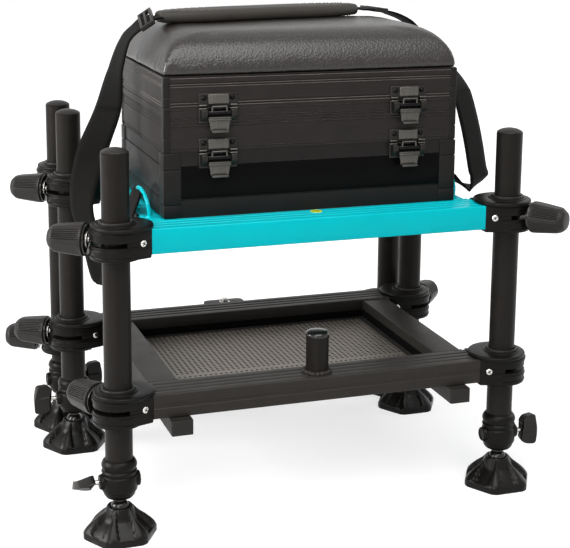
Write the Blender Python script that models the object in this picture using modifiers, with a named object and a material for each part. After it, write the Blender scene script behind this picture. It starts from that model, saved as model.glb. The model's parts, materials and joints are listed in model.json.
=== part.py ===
"""Angler's seat box: cassette box on a legged frame, with a footplate under it.

Metres, +Z up, +X to the sitter's left seen from the front, -Y to the front.
The origin lies on the floor, midway between the two front legs.
"""
import math

import bpy
import bmesh
from mathutils import Matrix, Vector

# Driving dimensions: case and cushion
BOX_W = 0.410
BOX_D = 0.252
BASE_H = 0.086
TRAY_H = 0.0585
LID_H = 0.040
BOX_WALL = 0.005
BOX_FLOOR = 0.004
BASE_POST_W = 0.020
POST_W = 0.010
POST_PROUD = 0.0012
GROOVE_DROP = 0.0115
HINGE_R = 0.004
HINGE_L = 0.045
HINGE_INSET = 0.080
LATCH_INSET = 0.07175
LATCH_W = 0.054
LATCH_PLATE_H = 0.018
LEVER_W = 0.025
LEVER_L = 0.031
BARREL_LUG = 0.0025
CUSHION_H = 0.056
CUSHION_CORNER = 0.022

# Driving dimensions: frame and footplate
RAIL_W = 0.052
RAIL_H = 0.033
RAIL_LEAD = 0.002
SIDE_RAIL_W = 0.041
SIDE_SET_IN = 0.0045
BOX_LAP = 0.004
REAR_ROOM = 0.028
SEAT_RISE = 0.220
LOOP_R = 0.0026
LOOP_RISE = 0.034
LOOP_REACH = 0.036
LOOP_OFF_BOX = 0.0132
LOOP_SET_IN = 0.010
LOOP_Y = 0.090
LOOP_SUNK = 0.004
LOOP_LEAN = 0.004
LEVEL_R = 0.008
LEVEL_H = 0.006
LEVEL_SET_IN = 0.015
STUB_H = 0.059
STUB_R = 0.0165
HITCH_W = 0.064
HITCH_L = 0.036
HITCH_T = 0.005
HITCH_X = -0.022
PAN_T = 0.0015
PAN_RIM = 0.014
BAR_W = 0.029
BAR_H = 0.021
BAR_SET_IN = 0.016
BAR_LEAD = 0.013

# Driving dimensions: legs, clamps and feet
LEG_R = 0.018
LEG_ABOVE = 0.098
LEG_DOME = 0.0055
CLAMP_WALL = 0.015
CLAMP_PLUG = 0.009
CLAMP_DROP = 0.005
FLANGE_LIP = 0.007
FLANGE_SHIFT = 0.008
FLANGE_T = 0.0055
NECK_WALL = 0.0042
NECK_RISE = 0.0045
SLOT_H = 0.006
STEP_ROOM = 0.015
KNOB_R = 0.0222
KNOB_L = 0.052
BOLT_R = 0.0045
COLLAR_L = 0.055
COLLAR_WALL = 0.0055
BOSS_OUT = 0.0035
BOSS_R = 0.0105
COLLAR_ROOM = 0.0157
COLLAR_GAP = 0.0105
STEM_R = 0.007
STEM_L = 0.139
STEM_SPARE = 0.030
BALL_R = 0.0125
BALL_Z = 0.038
HUB_WALL = 0.0045
HUB_RISE = 0.0035
FOOT_ROUND = 0.96
SCREW_DROP = 0.031
SCREW_R = 0.0033
SHANK_L = 0.010
WING_L = 0.022
WING_H = 0.040
WING_T = 0.012

# Driving dimensions: shoulder strap
STRAP_W = 0.045
STRAP_T = 0.0024
PAD_L = 0.322
PAD_W = 0.060
PAD_T = 0.016
PAD_DROOP = 0.0005

# Clearances
TOUCH = 0.0003
SLIDE = 0.0004
BALL_GAP = 0.0009
FOOT_GAP = 0.0005
PLAY = 0.0005

# Across: the box sets the loops, the loops the rails, and the rails the legs
CLAMP_R = LEG_R + CLAMP_WALL
CLAMP_BODY_R = CLAMP_R + 0.001
CLAMP_REACH = CLAMP_R + CLAMP_PLUG
FLANGE_R = CLAMP_R + FLANGE_LIP
NECK_R = LEG_R + NECK_WALL
LOOP_X = BOX_W / 2 + LOOP_OFF_BOX
SIDE_OUT = LOOP_X + LOOP_SET_IN
SIDE_IN = SIDE_OUT - SIDE_RAIL_W
RAIL_END = SIDE_OUT + SIDE_SET_IN
LEG_X = RAIL_END + TOUCH + CLAMP_REACH
HINGE_X = BOX_W / 2 - HINGE_INSET
LATCH_X = BOX_W / 2 - LATCH_INSET

# Front to back
RAIL_FRONT = -LEG_R - RAIL_LEAD
RAIL_BACK = RAIL_FRONT + RAIL_W
BOX_FRONT = RAIL_BACK - BOX_LAP
BOX_BACK = BOX_FRONT + BOX_D
MID_Y = BOX_BACK + REAR_ROOM - RAIL_FRONT
REAR_STEP = CLAMP_R + FLANGE_R + STEP_ROOM
REAR_Y = MID_Y + REAR_STEP
HINGE_Y = BOX_BACK + HINGE_R + 0.001
FOOT_R = (REAR_STEP - FOOT_GAP) / 2 / math.cos(math.pi / 6)

# Up from the floor
HUB_TOP = BALL_Z + HUB_RISE
COLLAR_LOW = HUB_TOP + COLLAR_GAP
COLLAR_TOP = COLLAR_LOW + COLLAR_L
COLLAR_R = LEG_R + COLLAR_WALL
BOSS_END = COLLAR_R + BOSS_OUT
CARRIER_Z = COLLAR_TOP + COLLAR_ROOM + CLAMP_DROP + RAIL_H
FOOT_Z = CARRIER_Z + TOUCH + RAIL_H
SEAT_Z = FOOT_Z + SEAT_RISE
LEG_TOP = SEAT_Z + LEG_ABOVE
SLOT_BELOW_TOP = RAIL_H / 2
BASE_Z = SEAT_Z + TOUCH
TRAY_Z = BASE_Z + BASE_H + TOUCH
LID_Z = TRAY_Z + TRAY_H + TOUCH
CUSHION_Z = LID_Z + LID_H + TOUCH
CUSHION_TOP = CUSHION_Z + CUSHION_H

LEGS = {
    "front_left": (-LEG_X, 0.0),
    "front_right": (LEG_X, 0.0),
    "mid_left": (-LEG_X, MID_Y),
    "mid_right": (LEG_X, MID_Y),
    "rear_left": (-LEG_X, REAR_Y),
    "rear_right": (LEG_X, REAR_Y),
}
INWARD_SCREWS = ("mid_right", "rear_left", "rear_right")
WING_TURNS = {"front_left": 60}
ROUND = 16

for old in list(bpy.data.objects):
    bpy.data.objects.remove(old)
PARTS = bpy.data.collections.new("seat_box")
TOOLS = bpy.data.collections.new("cutters")
for group in (PARTS, TOOLS):
    bpy.context.scene.collection.children.link(group)


def material(name, colour, roughness, metallic=0.0):
    """A Principled material with the piece's colour and finish."""
    made = bpy.data.materials.new(name)
    made.use_nodes = True
    shader = made.node_tree.nodes["Principled BSDF"]
    shader.inputs["Base Color"].default_value = (*colour, 1.0)
    shader.inputs["Roughness"].default_value = roughness
    shader.inputs["Metallic"].default_value = metallic
    return made


ANODISED = material("black_anodised", (0.018, 0.016, 0.015), 0.38, 0.6)
TURQUOISE = material("turquoise_paint", (0.0, 0.50, 0.58), 0.30, 0.1)
CASTING = material("black_casting", (0.014, 0.013, 0.012), 0.48)
PLASTIC = material("black_plastic", (0.020, 0.018, 0.017), 0.55)
CASE = material("case_black", (0.022, 0.020, 0.018), 0.45, 0.3)
LATCH = material("latch_metal", (0.06, 0.058, 0.055), 0.35, 0.9)
LEATHER = material("leathercloth", (0.020, 0.018, 0.016), 0.50)
WEBBING = material("webbing", (0.010, 0.009, 0.009), 0.85)
RUBBER = material("foot_rubber", (0.012, 0.012, 0.012), 0.45)
VIAL = material("level_vial", (0.62, 0.78, 0.05), 0.15)


def link(name, mesh, finish=None):
    """A mesh as a named object: a sub-part where it has a finish, else a tool."""
    made = bpy.data.objects.new(name, mesh)
    if finish:
        mesh.materials.clear()
        mesh.materials.append(finish)
        PARTS.objects.link(made)
        return made
    made.hide_render = True
    made.display_type = 'WIRE'
    TOOLS.objects.link(made)
    return made


def baked(obj):
    """The object's mesh with its modifiers applied."""
    bpy.context.view_layer.update()
    graph = bpy.context.evaluated_depsgraph_get()
    mesh = bpy.data.meshes.new_from_object(obj.evaluated_get(graph))
    mesh.name = obj.name
    return mesh


def tool(name, bm):
    mesh = bpy.data.meshes.new(name)
    bmesh.ops.recalc_face_normals(bm, faces=bm.faces)
    bm.to_mesh(mesh)
    bm.free()
    return link(name, mesh)


def box(low, high, bevel=0.0):
    """A block between two corners, with its edges eased."""
    low, high = Vector(low), Vector(high)
    bm = bmesh.new()
    bmesh.ops.create_cube(bm, size=1.0)
    bmesh.ops.scale(bm, vec=high - low, verts=bm.verts)
    bmesh.ops.translate(bm, vec=(low + high) / 2, verts=bm.verts)
    if bevel:
        bmesh.ops.bevel(bm, geom=bm.edges[:], offset=bevel, segments=1,
                        profile=0.5, affect='EDGES', material=-1)
    return tool("block", bm)


def cylinder(start, end, radius, sides=ROUND, end_radius=None):
    """A round bar from one point to another, tapered if it has an end radius."""
    start, end = Vector(start), Vector(end)
    bm = bmesh.new()
    along = end - start
    turn = along.to_track_quat('Z', 'Y').to_matrix().to_4x4()
    place = Matrix.Translation((start + end) / 2) @ turn
    bmesh.ops.create_cone(bm, cap_ends=True, segments=sides, radius1=radius,
                          radius2=radius if end_radius is None else end_radius,
                          depth=along.length, matrix=place)
    return tool("bar", bm)


def turned(profile, sides=ROUND):
    """A profile of (radius, height) points, top to bottom, spun about Z."""
    mesh = bpy.data.meshes.new("turned")
    points = [(radius, 0.0, height) for radius, height in profile]
    mesh.from_pydata(points, [(i, i + 1) for i in range(len(points) - 1)], [])
    obj = link("turned", mesh)
    spin = obj.modifiers.new("spin", 'SCREW')
    spin.steps = spin.render_steps = sides
    spin.use_merge_vertices = True
    spin.merge_threshold = 0.00001
    return flattened(obj)


def outline(loops, low, high):
    """Flat closed outlines filled between two heights; inner loops are holes."""
    curve = bpy.data.curves.new("outline", 'CURVE')
    curve.dimensions = '2D'
    curve.fill_mode = 'BOTH'
    curve.extrude = (high - low) / 2
    for loop in loops:
        spline = curve.splines.new('POLY')
        spline.points.add(len(loop) - 1)
        for point, (x, y) in zip(spline.points, loop):
            point.co = (x, y, 0.0, 1.0)
        spline.use_cyclic_u = True
    obj = bpy.data.objects.new("outline", curve)
    TOOLS.objects.link(obj)
    made = flattened(obj)
    made.data.transform(Matrix.Translation((0, 0, (low + high) / 2)))
    return made


def tube(points, radius):
    """A bent rod through the points, closed at both ends."""
    curve = bpy.data.curves.new("rod", 'CURVE')
    curve.dimensions = '3D'
    curve.bevel_depth = radius
    curve.bevel_resolution = 1
    curve.use_fill_caps = True
    spline = curve.splines.new('POLY')
    spline.points.add(len(points) - 1)
    for point, place in zip(spline.points, points):
        point.co = (*place, 1.0)
    obj = bpy.data.objects.new("rod", curve)
    TOOLS.objects.link(obj)
    return flattened(obj)


def flattened(obj):
    """A curve or modified object made into a plain welded mesh."""
    bm = bmesh.new()
    bm.from_mesh(baked(obj))
    bpy.data.objects.remove(obj)
    bmesh.ops.remove_doubles(bm, verts=bm.verts, dist=0.000005)
    return tool("solid", bm)


def combine(first, others, operation):
    """A Boolean of the first object with each of the others in turn."""
    for other in others:
        step = first.modifiers.new("step", 'BOOLEAN')
        step.operation = operation
        step.object = other
        step.solver = 'EXACT'
        mesh = baked(first)
        first.modifiers.clear()
        first.data = mesh
        bpy.data.objects.remove(other)
    return first


def joined(first, *others):
    return combine(first, others, 'UNION')


def cut(first, *others):
    return combine(first, others, 'DIFFERENCE')


def part(name, obj, finish, origin=(0, 0, 0)):
    """Names a finished solid as a sub-part, with its origin on its joint's axis."""
    mesh = obj.data.copy()
    bpy.data.objects.remove(obj)
    mesh.name = name
    mesh.transform(Matrix.Translation(-Vector(origin)))
    mesh.shade_smooth()
    mesh.set_sharp_from_angle(angle=math.radians(32))
    made = link(name, mesh, finish)
    made.location = origin
    return made


def mirrored(obj):
    """A copy mirrored from right to left, with its faces still pointing out."""
    bm = bmesh.new()
    bm.from_mesh(obj.data)
    bmesh.ops.scale(bm, vec=(-1, 1, 1), verts=bm.verts)
    return tool("mirror", bm)


def copied(obj, offset=(0, 0, 0)):
    mesh = obj.data.copy()
    mesh.transform(Matrix.Translation(offset))
    return link("copy", mesh)


def circle(radius):
    turn = 2 * math.pi / ROUND
    return [(radius * math.cos(i * turn), radius * math.sin(i * turn)) for i in range(ROUND)]


def hull(points):
    """The convex outline round a set of flat points."""
    points = sorted(set(points))
    chains = []
    for run in (points, points[::-1]):
        chain = []
        for x, y in run:
            while len(chain) > 1:
                (ax, ay), (bx, by) = chain[-2:]
                if (bx - ax) * (y - ay) - (by - ay) * (x - ax) > 1e-9:
                    break
                chain.pop()
            chain.append((x, y))
        chains += chain[:-1]
    return chains


def clamp(bores):
    """A cast leg clamp for the right side, its first bore on the Z axis.

    The rail it is plugged to meets it at -X, with the rail's top at height 0.
    """
    bottom, flange_top = -RAIL_H - CLAMP_DROP, TOUCH + FLANGE_T
    top, past = flange_top + NECK_RISE, 0.01
    rail_mouth = [(-CLAMP_REACH, RAIL_FRONT), (-CLAMP_REACH, RAIL_BACK)]
    layers = [outline([hull(rail_mouth + circle(CLAMP_BODY_R))], -RAIL_H + TOUCH, FLANGE_T / 3)]
    for y in bores:
        layers.append(cylinder((0, y, bottom), (0, y, FLANGE_T / 2), CLAMP_R))
        layers.append(cylinder((-FLANGE_SHIFT, y, TOUCH), (-FLANGE_SHIFT, y, flange_top), FLANGE_R))
        layers.append(cylinder((0, y, FLANGE_T / 2), (0, y, top), NECK_R + NECK_RISE, end_radius=NECK_R))
    if len(bores) > 1:
        web = 0.006
        layers.append(box((-LEG_R - web, 0, bottom + web), (web, bores[-1], flange_top - web / 4)))
    body = joined(*layers)
    drills = [cylinder((0, y, bottom - past), (0, y, top + past), LEG_R + SLIDE) for y in bores]
    slot = box((-CLAMP_R * 0.25, -2 * CLAMP_R, -SLOT_BELOW_TOP - SLOT_H / 2),
               (2 * CLAMP_R, bores[-1] + 2 * CLAMP_R, -SLOT_BELOW_TOP + SLOT_H / 2))
    return cut(body, *drills, slot)


def clamps():
    """Every leg clamp: four on the footplate, two behind it, four under the seat."""
    single = clamp([0.0])
    double = clamp([0.0, REAR_STEP])
    spots = [(single, "seat_clamp_front", 0.0, SEAT_Z),
             (double, "seat_clamp_rear", MID_Y, SEAT_Z),
             (single, "foot_clamp_front", 0.0, FOOT_Z),
             (single, "foot_clamp_mid", MID_Y, FOOT_Z),
             (single, "carrier_clamp", REAR_Y, CARRIER_Z)]
    for shape, name, y, z in spots:
        right = copied(shape, (LEG_X, y, z))
        left = mirrored(right)
        part(name + "_left", left, CASTING)
        part(name + "_right", right, CASTING)
    for shape in (single, double):
        bpy.data.objects.remove(shape)


def rail(y, top):
    """A cross rail from clamp to clamp, for the legs at one place front to back."""
    return box((-RAIL_END, y + RAIL_FRONT, top - RAIL_H), (RAIL_END, y + RAIL_BACK, top), bevel=0.002)


def rail_frame(top):
    """A welded oblong of grooved extrusions, its legs' clamps at its four corners."""
    groove_w, groove_deep, past = 0.004, 0.0012, 0.01
    front, rear = rail(0.0, top), rail(MID_Y, top)
    for bar, y in ((front, 0.0), (rear, MID_Y)):
        grooves = []
        for share in (0.27, 0.50, 0.73):
            middle = y + RAIL_FRONT + RAIL_W * share
            grooves.append(box((-RAIL_END - past, middle - groove_w / 2, top - groove_deep),
                               (RAIL_END + past, middle + groove_w / 2, top + past)))
        cut(bar, *grooves)
    sunk, lower, raised = 0.005, 0.0015, 0.0005
    sides = []
    for sign in (-1, 1):
        low_x, high_x = sorted((sign * SIDE_IN, sign * SIDE_OUT))
        sides.append(box((low_x, RAIL_BACK - sunk, top - RAIL_H + raised),
                         (high_x, MID_Y + RAIL_FRONT + sunk, top - lower), bevel=0.001))
    return joined(front, *sides, rear)


def strap_loop(sign):
    """A bent rod welded on a side rail, for the strap's end."""
    steps = 10
    points = []
    for i in range(steps + 1):
        turn = math.pi * i / steps
        points.append((sign * (LOOP_X + LOOP_LEAN * math.sin(turn)), LOOP_Y - LOOP_REACH * math.cos(turn),
                       SEAT_Z - LOOP_SUNK + LOOP_RISE * math.sin(turn) ** 0.7))
    return tube(points, LOOP_R)


def seat_frame():
    level_at = Vector((0, RAIL_BACK - LEVEL_SET_IN, SEAT_Z))
    frame = joined(rail_frame(SEAT_Z), strap_loop(-1), strap_loop(1))
    pocket = cylinder(level_at - Vector((0, 0, LEVEL_H + TOUCH)),
                      level_at + Vector((0, 0, 0.01)), LEVEL_R + TOUCH, sides=20)
    part("seat_frame", cut(frame, pocket), TURQUOISE)
    rim, crown = 0.0012, 0.0008
    vial = turned([(0, crown), (LEVEL_R - rim, crown / 2), (LEVEL_R, 0.0),
                   (LEVEL_R, -LEVEL_H), (0, -LEVEL_H)], sides=20)
    vial.data.transform(Matrix.Translation(level_at))
    part("spirit_level", vial, VIAL)


def footplate():
    """The footplate's frame with its stub post and hitch plate, and the pan in it."""
    bottom = FOOT_Z - RAIL_H
    frame = rail_frame(FOOT_Z)
    lip, lip_t = 0.006, 0.0016
    y0, y1 = RAIL_BACK, MID_Y + RAIL_FRONT
    bite = 0.003
    outer = [(-SIDE_IN - bite, y0 - bite), (SIDE_IN + bite, y0 - bite),
             (SIDE_IN + bite, y1 + bite), (-SIDE_IN - bite, y1 + bite)]
    inner = [(-SIDE_IN + lip, y0 + lip), (SIDE_IN - lip, y0 + lip),
             (SIDE_IN - lip, y1 - lip), (-SIDE_IN + lip, y1 - lip)]
    lip_low = bottom + 0.001
    ledge = outline([outer, inner], lip_low, lip_low + lip_t)
    bead, root, cap, step = 0.0045, -0.005, 0.008, 0.001
    stub = turned([(0, STUB_H), (STUB_R * 0.7, STUB_H - step), (STUB_R, STUB_H - cap / 2),
                   (STUB_R, STUB_H - cap), (STUB_R - step, STUB_H - cap - step / 2),
                   (STUB_R - step, bead), (STUB_R + bead, 0.0), (STUB_R + bead, root), (0, root)])
    stub.data.transform(Matrix.Translation((0, (RAIL_FRONT + RAIL_BACK) / 2, FOOT_Z)))
    plate_y, plate_z = MID_Y + RAIL_BACK, FOOT_Z - 0.006
    hitch = box((HITCH_X - HITCH_W / 2, plate_y - bite, plate_z - HITCH_T),
                (HITCH_X + HITCH_W / 2, plate_y + HITCH_L, plate_z), bevel=0.001)
    head_r, head_h = 0.0068, 0.0065
    bolt = turned([(0, head_h), (head_r * 0.74, head_h - 0.0005), (head_r, head_h / 2),
                   (head_r, -HITCH_T / 2), (0, -HITCH_T / 2)], sides=12)
    bolt.data.transform(Matrix.Translation((HITCH_X, plate_y + HITCH_L * 0.55, plate_z)))
    part("footplate_frame", joined(frame, ledge, stub, hitch, bolt), ANODISED)

    pan_low = lip_low + lip_t + TOUCH
    low = Vector((-SIDE_IN + TOUCH, y0 + TOUCH, pan_low))
    high = Vector((SIDE_IN - TOUCH, y1 - TOUCH, pan_low + PAN_RIM))
    room = box(low + Vector((PAN_T, PAN_T, PAN_T)), high - Vector((PAN_T, PAN_T, -PAN_T)))
    part("footplate_pan", cut(box(low, high), room), ANODISED)


def carrier():
    """The rear cross rail with the two slide bars that run under the footplate."""
    cross = rail(REAR_Y, CARRIER_Z)
    bar_out, bar_drop, bite = SIDE_OUT - BAR_SET_IN, 0.0002, 0.010
    bars = []
    for sign in (-1, 1):
        x0, x1 = sorted((sign * bar_out, sign * (bar_out - BAR_W)))
        bars.append(box((x0, RAIL_FRONT - BAR_LEAD, CARRIER_Z - BAR_H - bar_drop),
                        (x1, REAR_Y + RAIL_FRONT + bite, CARRIER_Z - bar_drop), bevel=0.0012))
    part("slide_carrier", joined(cross, *bars), ANODISED)


def legs():
    """Leg tubes with domed caps above and screw collars below, and what is in them."""
    stem_top = BALL_Z + STEM_L
    bore_top = stem_top + STEM_SPARE
    rim, lip, taper, bowl = 0.0030, 0.006, 0.010, 0.003
    profile = [(0, LEG_TOP + LEG_DOME), (LEG_R * 0.60, LEG_TOP + LEG_DOME * 0.68), (LEG_R, LEG_TOP),
               (LEG_R, COLLAR_TOP), (LEG_R + rim, COLLAR_TOP),
               (COLLAR_R, COLLAR_TOP - lip), (COLLAR_R, COLLAR_LOW + taper),
               (LEG_R, COLLAR_LOW + bowl), (STEM_R + bowl, COLLAR_LOW), (STEM_R + SLIDE, COLLAR_LOW),
               (STEM_R + SLIDE, bore_top), (0, bore_top)]
    neck = math.asin(STEM_R / BALL_R)
    turns = [neck + (math.pi - neck) * i / 5 for i in range(5)]
    ball = [(BALL_R * math.sin(turn), BALL_Z + BALL_R * math.cos(turn)) for turn in turns]
    stem = [(0, stem_top), (STEM_R, stem_top)] + ball + [(0, BALL_Z - BALL_R)]
    for name, (x, y) in LEGS.items():
        leg = turned(profile)
        leg.data.transform(Matrix.Translation((x, y, 0)))
        z = COLLAR_TOP - SCREW_DROP
        bosses = [cylinder((x + way * LEG_R * 0.8, y, z), (x + way * BOSS_END, y, z), BOSS_R) for way in (-1, 1)]
        part("leg_" + name, joined(leg, *bosses), ANODISED, (x, y, LEG_TOP))
        rod = turned(stem, sides=12)
        rod.data.transform(Matrix.Translation((x, y, 0)))
        part("foot_stem_" + name, rod, PLASTIC, (x, y, BALL_Z))
        mud_foot(name, x, y)
        thumb_screw(name, x, y)


def mud_foot(name, x, y):
    """A spreading foot: a low cone with six dished panels and a socket for the stem's ball."""
    cup = BALL_R + BALL_GAP
    lip = math.radians(80)
    turns = [lip + (math.pi - lip) * i / 4 for i in range(4)]
    socket = [(cup * math.sin(turn), BALL_Z + cup * math.cos(turn)) for turn in turns]
    hub_r, rim, dish = BALL_R + HUB_WALL, 0.009, 0.005
    outside = [(hub_r, HUB_TOP - 0.001), (FOOT_R * 0.50, rim + 0.0205), (FOOT_R * 0.80, rim + 0.0090),
               (FOOT_R, rim), (FOOT_R, 0.0), (0, 0.0)]
    foot = turned([(0, BALL_Z - cup)] + socket[::-1] + outside, sides=24)
    for vertex in foot.data.vertices:
        far = math.hypot(vertex.co.x, vertex.co.y)
        if far > hub_r + 0.001:
            off_flat = math.atan2(vertex.co.y, vertex.co.x) % (math.pi / 3) - math.pi / 6
            flat = min(FOOT_ROUND, math.cos(math.pi / 6) / math.cos(off_flat)) - 1
            vertex.co.xy *= 1 + flat * (far / FOOT_R) ** 2
            if vertex.co.z > rim + dish / 2:
                vertex.co.z -= dish * math.cos(3 * off_flat) ** 2
    foot.data.transform(Matrix.Translation((x, y, 0)))
    part("mud_foot_" + name, foot, RUBBER, (x, y, BALL_Z))


def thumb_screw(name, x, y):
    """A wing screw that locks a foot's stem, standing out from the collar."""
    out = math.copysign(1, x) * (-1 if name in INWARD_SCREWS else 1)
    z = COLLAR_TOP - SCREW_DROP
    start = x + out * (BOSS_END + TOUCH)
    root, bite = start + out * SHANK_L, 0.004
    shaft = cylinder((start, y, z), (root + out * bite, y, z), SCREW_R, sides=8)
    x0, x1 = sorted((root, root + out * WING_L))
    wing = box((x0, -WING_T / 2, -WING_H / 2), (x1, WING_T / 2, WING_H / 2), bevel=0.002)
    turn = Matrix.Rotation(math.radians(WING_TURNS.get(name, 0)), 4, 'X')
    wing.data.transform(Matrix.Translation((0, y, z)) @ turn)
    part("thumb_screw_" + name, joined(wing, shaft), PLASTIC, (start, y, z))


def knob_solid():
    """A tapered clamp knob along +Z, with its washer and the bolt it turns."""
    washer, gap = 0.0015, 0.0010
    start = gap + washer
    end = start + KNOB_L
    return turned([(0, end), (KNOB_R * 0.56, end - 0.0015), (KNOB_R * 0.80, end - 0.008),
                   (KNOB_R, start + 0.006), (KNOB_R * 0.94, start), (KNOB_R * 0.5, start - washer),
                   (BOLT_R, start - washer), (BOLT_R, 0.0), (0, 0.0)], sides=14)


def knobs():
    """Clamp knobs: name, the clamp's leg, heading in degrees from +X, and rail top."""
    spots = [("seat_knob_front_left", "front_left", 150, SEAT_Z),
             ("seat_knob_front_right", "front_right", -52, SEAT_Z),
             ("seat_knob_rear_left", "mid_left", 150, SEAT_Z),
             ("seat_knob_rear_right", "mid_right", 30, SEAT_Z),
             ("foot_knob_front_left", "front_left", 120, FOOT_Z),
             ("foot_knob_front_right", "front_right", 62, FOOT_Z),
             ("foot_knob_mid_left", "mid_left", 150, FOOT_Z),
             ("foot_knob_mid_right", "mid_right", 42, FOOT_Z),
             ("carrier_knob_left", "rear_left", 158, CARRIER_Z),
             ("carrier_knob_right", "rear_right", 22, CARRIER_Z)]
    for name, leg, heading, top in spots:
        x, y = LEGS[leg]
        turn = math.radians(heading)
        way = Vector((math.cos(turn), math.sin(turn), 0))
        root = Vector((x, y, top - SLOT_BELOW_TOP)) + way * (CLAMP_BODY_R + TOUCH)
        knob = knob_solid()
        knob.data.transform(Matrix.Translation(root) @ way.to_track_quat('Z', 'X').to_matrix().to_4x4())
        part(name, knob, PLASTIC, root)


def case_module(low_z, height, open_top, post_w):
    """A hollow case section with a grooved wall and corner posts standing proud."""
    high_z, x, past = low_z + height, BOX_W / 2, 0.01
    shell = box((-x, BOX_FRONT, low_z), (x, BOX_BACK, high_z), bevel=0.0015)
    groove, groove_z = 0.0010, high_z - GROOVE_DROP
    outer = [(-x - past, BOX_FRONT - past), (x + past, BOX_FRONT - past),
             (x + past, BOX_BACK + past), (-x - past, BOX_BACK + past)]
    inner = [(-x + groove, BOX_FRONT + groove), (x - groove, BOX_FRONT + groove),
             (x - groove, BOX_BACK - groove), (-x + groove, BOX_BACK - groove)]
    cut(shell, outline([outer, inner], groove_z - groove, groove_z + groove))
    posts, short = [], 0.0008
    post_ends = ((BOX_FRONT - POST_PROUD, BOX_FRONT + post_w), (BOX_BACK - post_w, BOX_BACK + POST_PROUD))
    for sign in (-1, 1):
        x0, x1 = sorted((sign * (x + POST_PROUD), sign * (x - post_w)))
        for y0, y1 in post_ends:
            posts.append(box((x0, y0, low_z + short), (x1, y1, high_z - short)))
    joined(shell, *posts)
    floor, mouth = (low_z + BOX_FLOOR, high_z + past) if open_top else (low_z - past, high_z - BOX_FLOOR)
    room = box((-x + BOX_WALL, BOX_FRONT + BOX_WALL, floor), (x - BOX_WALL, BOX_BACK - BOX_WALL, mouth))
    return cut(shell, room)


def hinge_knuckles(seam, upper):
    """Hinge barrels behind the case at a seam: the inner pair lifts, the outer stays."""
    leaf, bite, shy = 0.014, 0.002, 0.0002
    shapes = []
    for side in (-1, 1):
        middle = side * (HINGE_X if upper else HINGE_X + HINGE_L + PLAY)
        x0, x1 = middle - HINGE_L / 2, middle + HINGE_L / 2
        shapes.append(cylinder((x0, HINGE_Y, seam), (x1, HINGE_Y, seam), HINGE_R, sides=12))
        z0, z1 = (seam + TOUCH, seam + leaf) if upper else (seam - leaf, seam - TOUCH)
        shapes.append(box((x0 + shy, BOX_BACK - bite, z0), (x1 - shy, HINGE_Y - HINGE_R / 8, z1)))
    return shapes


def latch_plates(seam, upper):
    """Raised latch plates on the front of the case, above or below a seam."""
    proud, strike_proud, ear_proud, edge, bite = 0.003, 0.007, 0.0115, 0.001, 0.002
    strike_w, strike_h, ear_w, ear_h, ear_drop = 0.029, 0.012, 0.009, 0.009, 0.0025
    shapes = []
    for sign in (-1, 1):
        x = sign * LATCH_X
        z0, z1 = (seam + edge, seam + LATCH_PLATE_H) if upper else (seam - LATCH_PLATE_H, seam - edge)
        shapes.append(box((x - LATCH_W / 2, BOX_FRONT - proud, z0),
                          (x + LATCH_W / 2, BOX_FRONT + bite, z1), bevel=0.0008))
        if upper:
            shapes.append(box((x - strike_w / 2, BOX_FRONT - strike_proud, z1 - edge - strike_h),
                              (x + strike_w / 2, BOX_FRONT - edge, z1 - edge), bevel=0.0008))
            continue
        for side in (-1, 1):
            middle = x + side * (LEVER_W + 2 * BARREL_LUG + 2 * PLAY + ear_w) / 2
            shapes.append(box((middle - ear_w / 2, BOX_FRONT - ear_proud, seam - ear_drop - ear_h),
                              (middle + ear_w / 2, BOX_FRONT - edge, seam - ear_drop), bevel=0.0008))
    return shapes


def latch_lever(name, sign, seam):
    """A pull-down lever between the two ears under a seam, hanging on its pivot."""
    x, barrel_r, tip_w, tip_h = sign * LATCH_X, 0.0032, 0.020, 0.003
    pivot = Vector((x, BOX_FRONT - 0.0075, seam - 0.007))
    half = Vector((LEVER_W / 2 + BARREL_LUG, 0, 0))
    barrel = cylinder(pivot - half, pivot + half, barrel_r, sides=12)
    low = seam - LEVER_L
    tip_top = low + tip_h / 3
    plate = box((x - LEVER_W / 2, pivot.y - 0.0028, low), (x + LEVER_W / 2, pivot.y - 0.0008, pivot.z),
                bevel=0.0006)
    tip = box((x - tip_w / 2, pivot.y - 0.0070, tip_top - tip_h),
              (x + tip_w / 2, pivot.y - 0.0012, tip_top), bevel=0.0006)
    part(name, joined(barrel, plate, tip), LATCH, pivot)


def case():
    """The stacked case: base, tray and lid, hinged behind and latched in front."""
    tray_seam, lid_seam = TRAY_Z - TOUCH / 2, LID_Z - TOUCH / 2
    base = case_module(BASE_Z, BASE_H, True, BASE_POST_W)
    part("case_base", joined(base, *hinge_knuckles(tray_seam, False), *latch_plates(tray_seam, False)), CASE)
    tray = case_module(TRAY_Z, TRAY_H, True, POST_W)
    fittings = hinge_knuckles(tray_seam, True) + latch_plates(tray_seam, True)
    fittings += hinge_knuckles(lid_seam, False) + latch_plates(lid_seam, False)
    part("case_tray", joined(tray, *fittings), CASE, (0, HINGE_Y, tray_seam))
    lid = case_module(LID_Z, LID_H, False, POST_W)
    part("case_lid", joined(lid, *hinge_knuckles(lid_seam, True), *latch_plates(lid_seam, True)),
         CASE, (0, HINGE_Y, lid_seam))
    for side, sign in (("left", -1), ("right", 1)):
        latch_lever("latch_lower_" + side, sign, tray_seam)
        latch_lever("latch_upper_" + side, sign, lid_seam)


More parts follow.
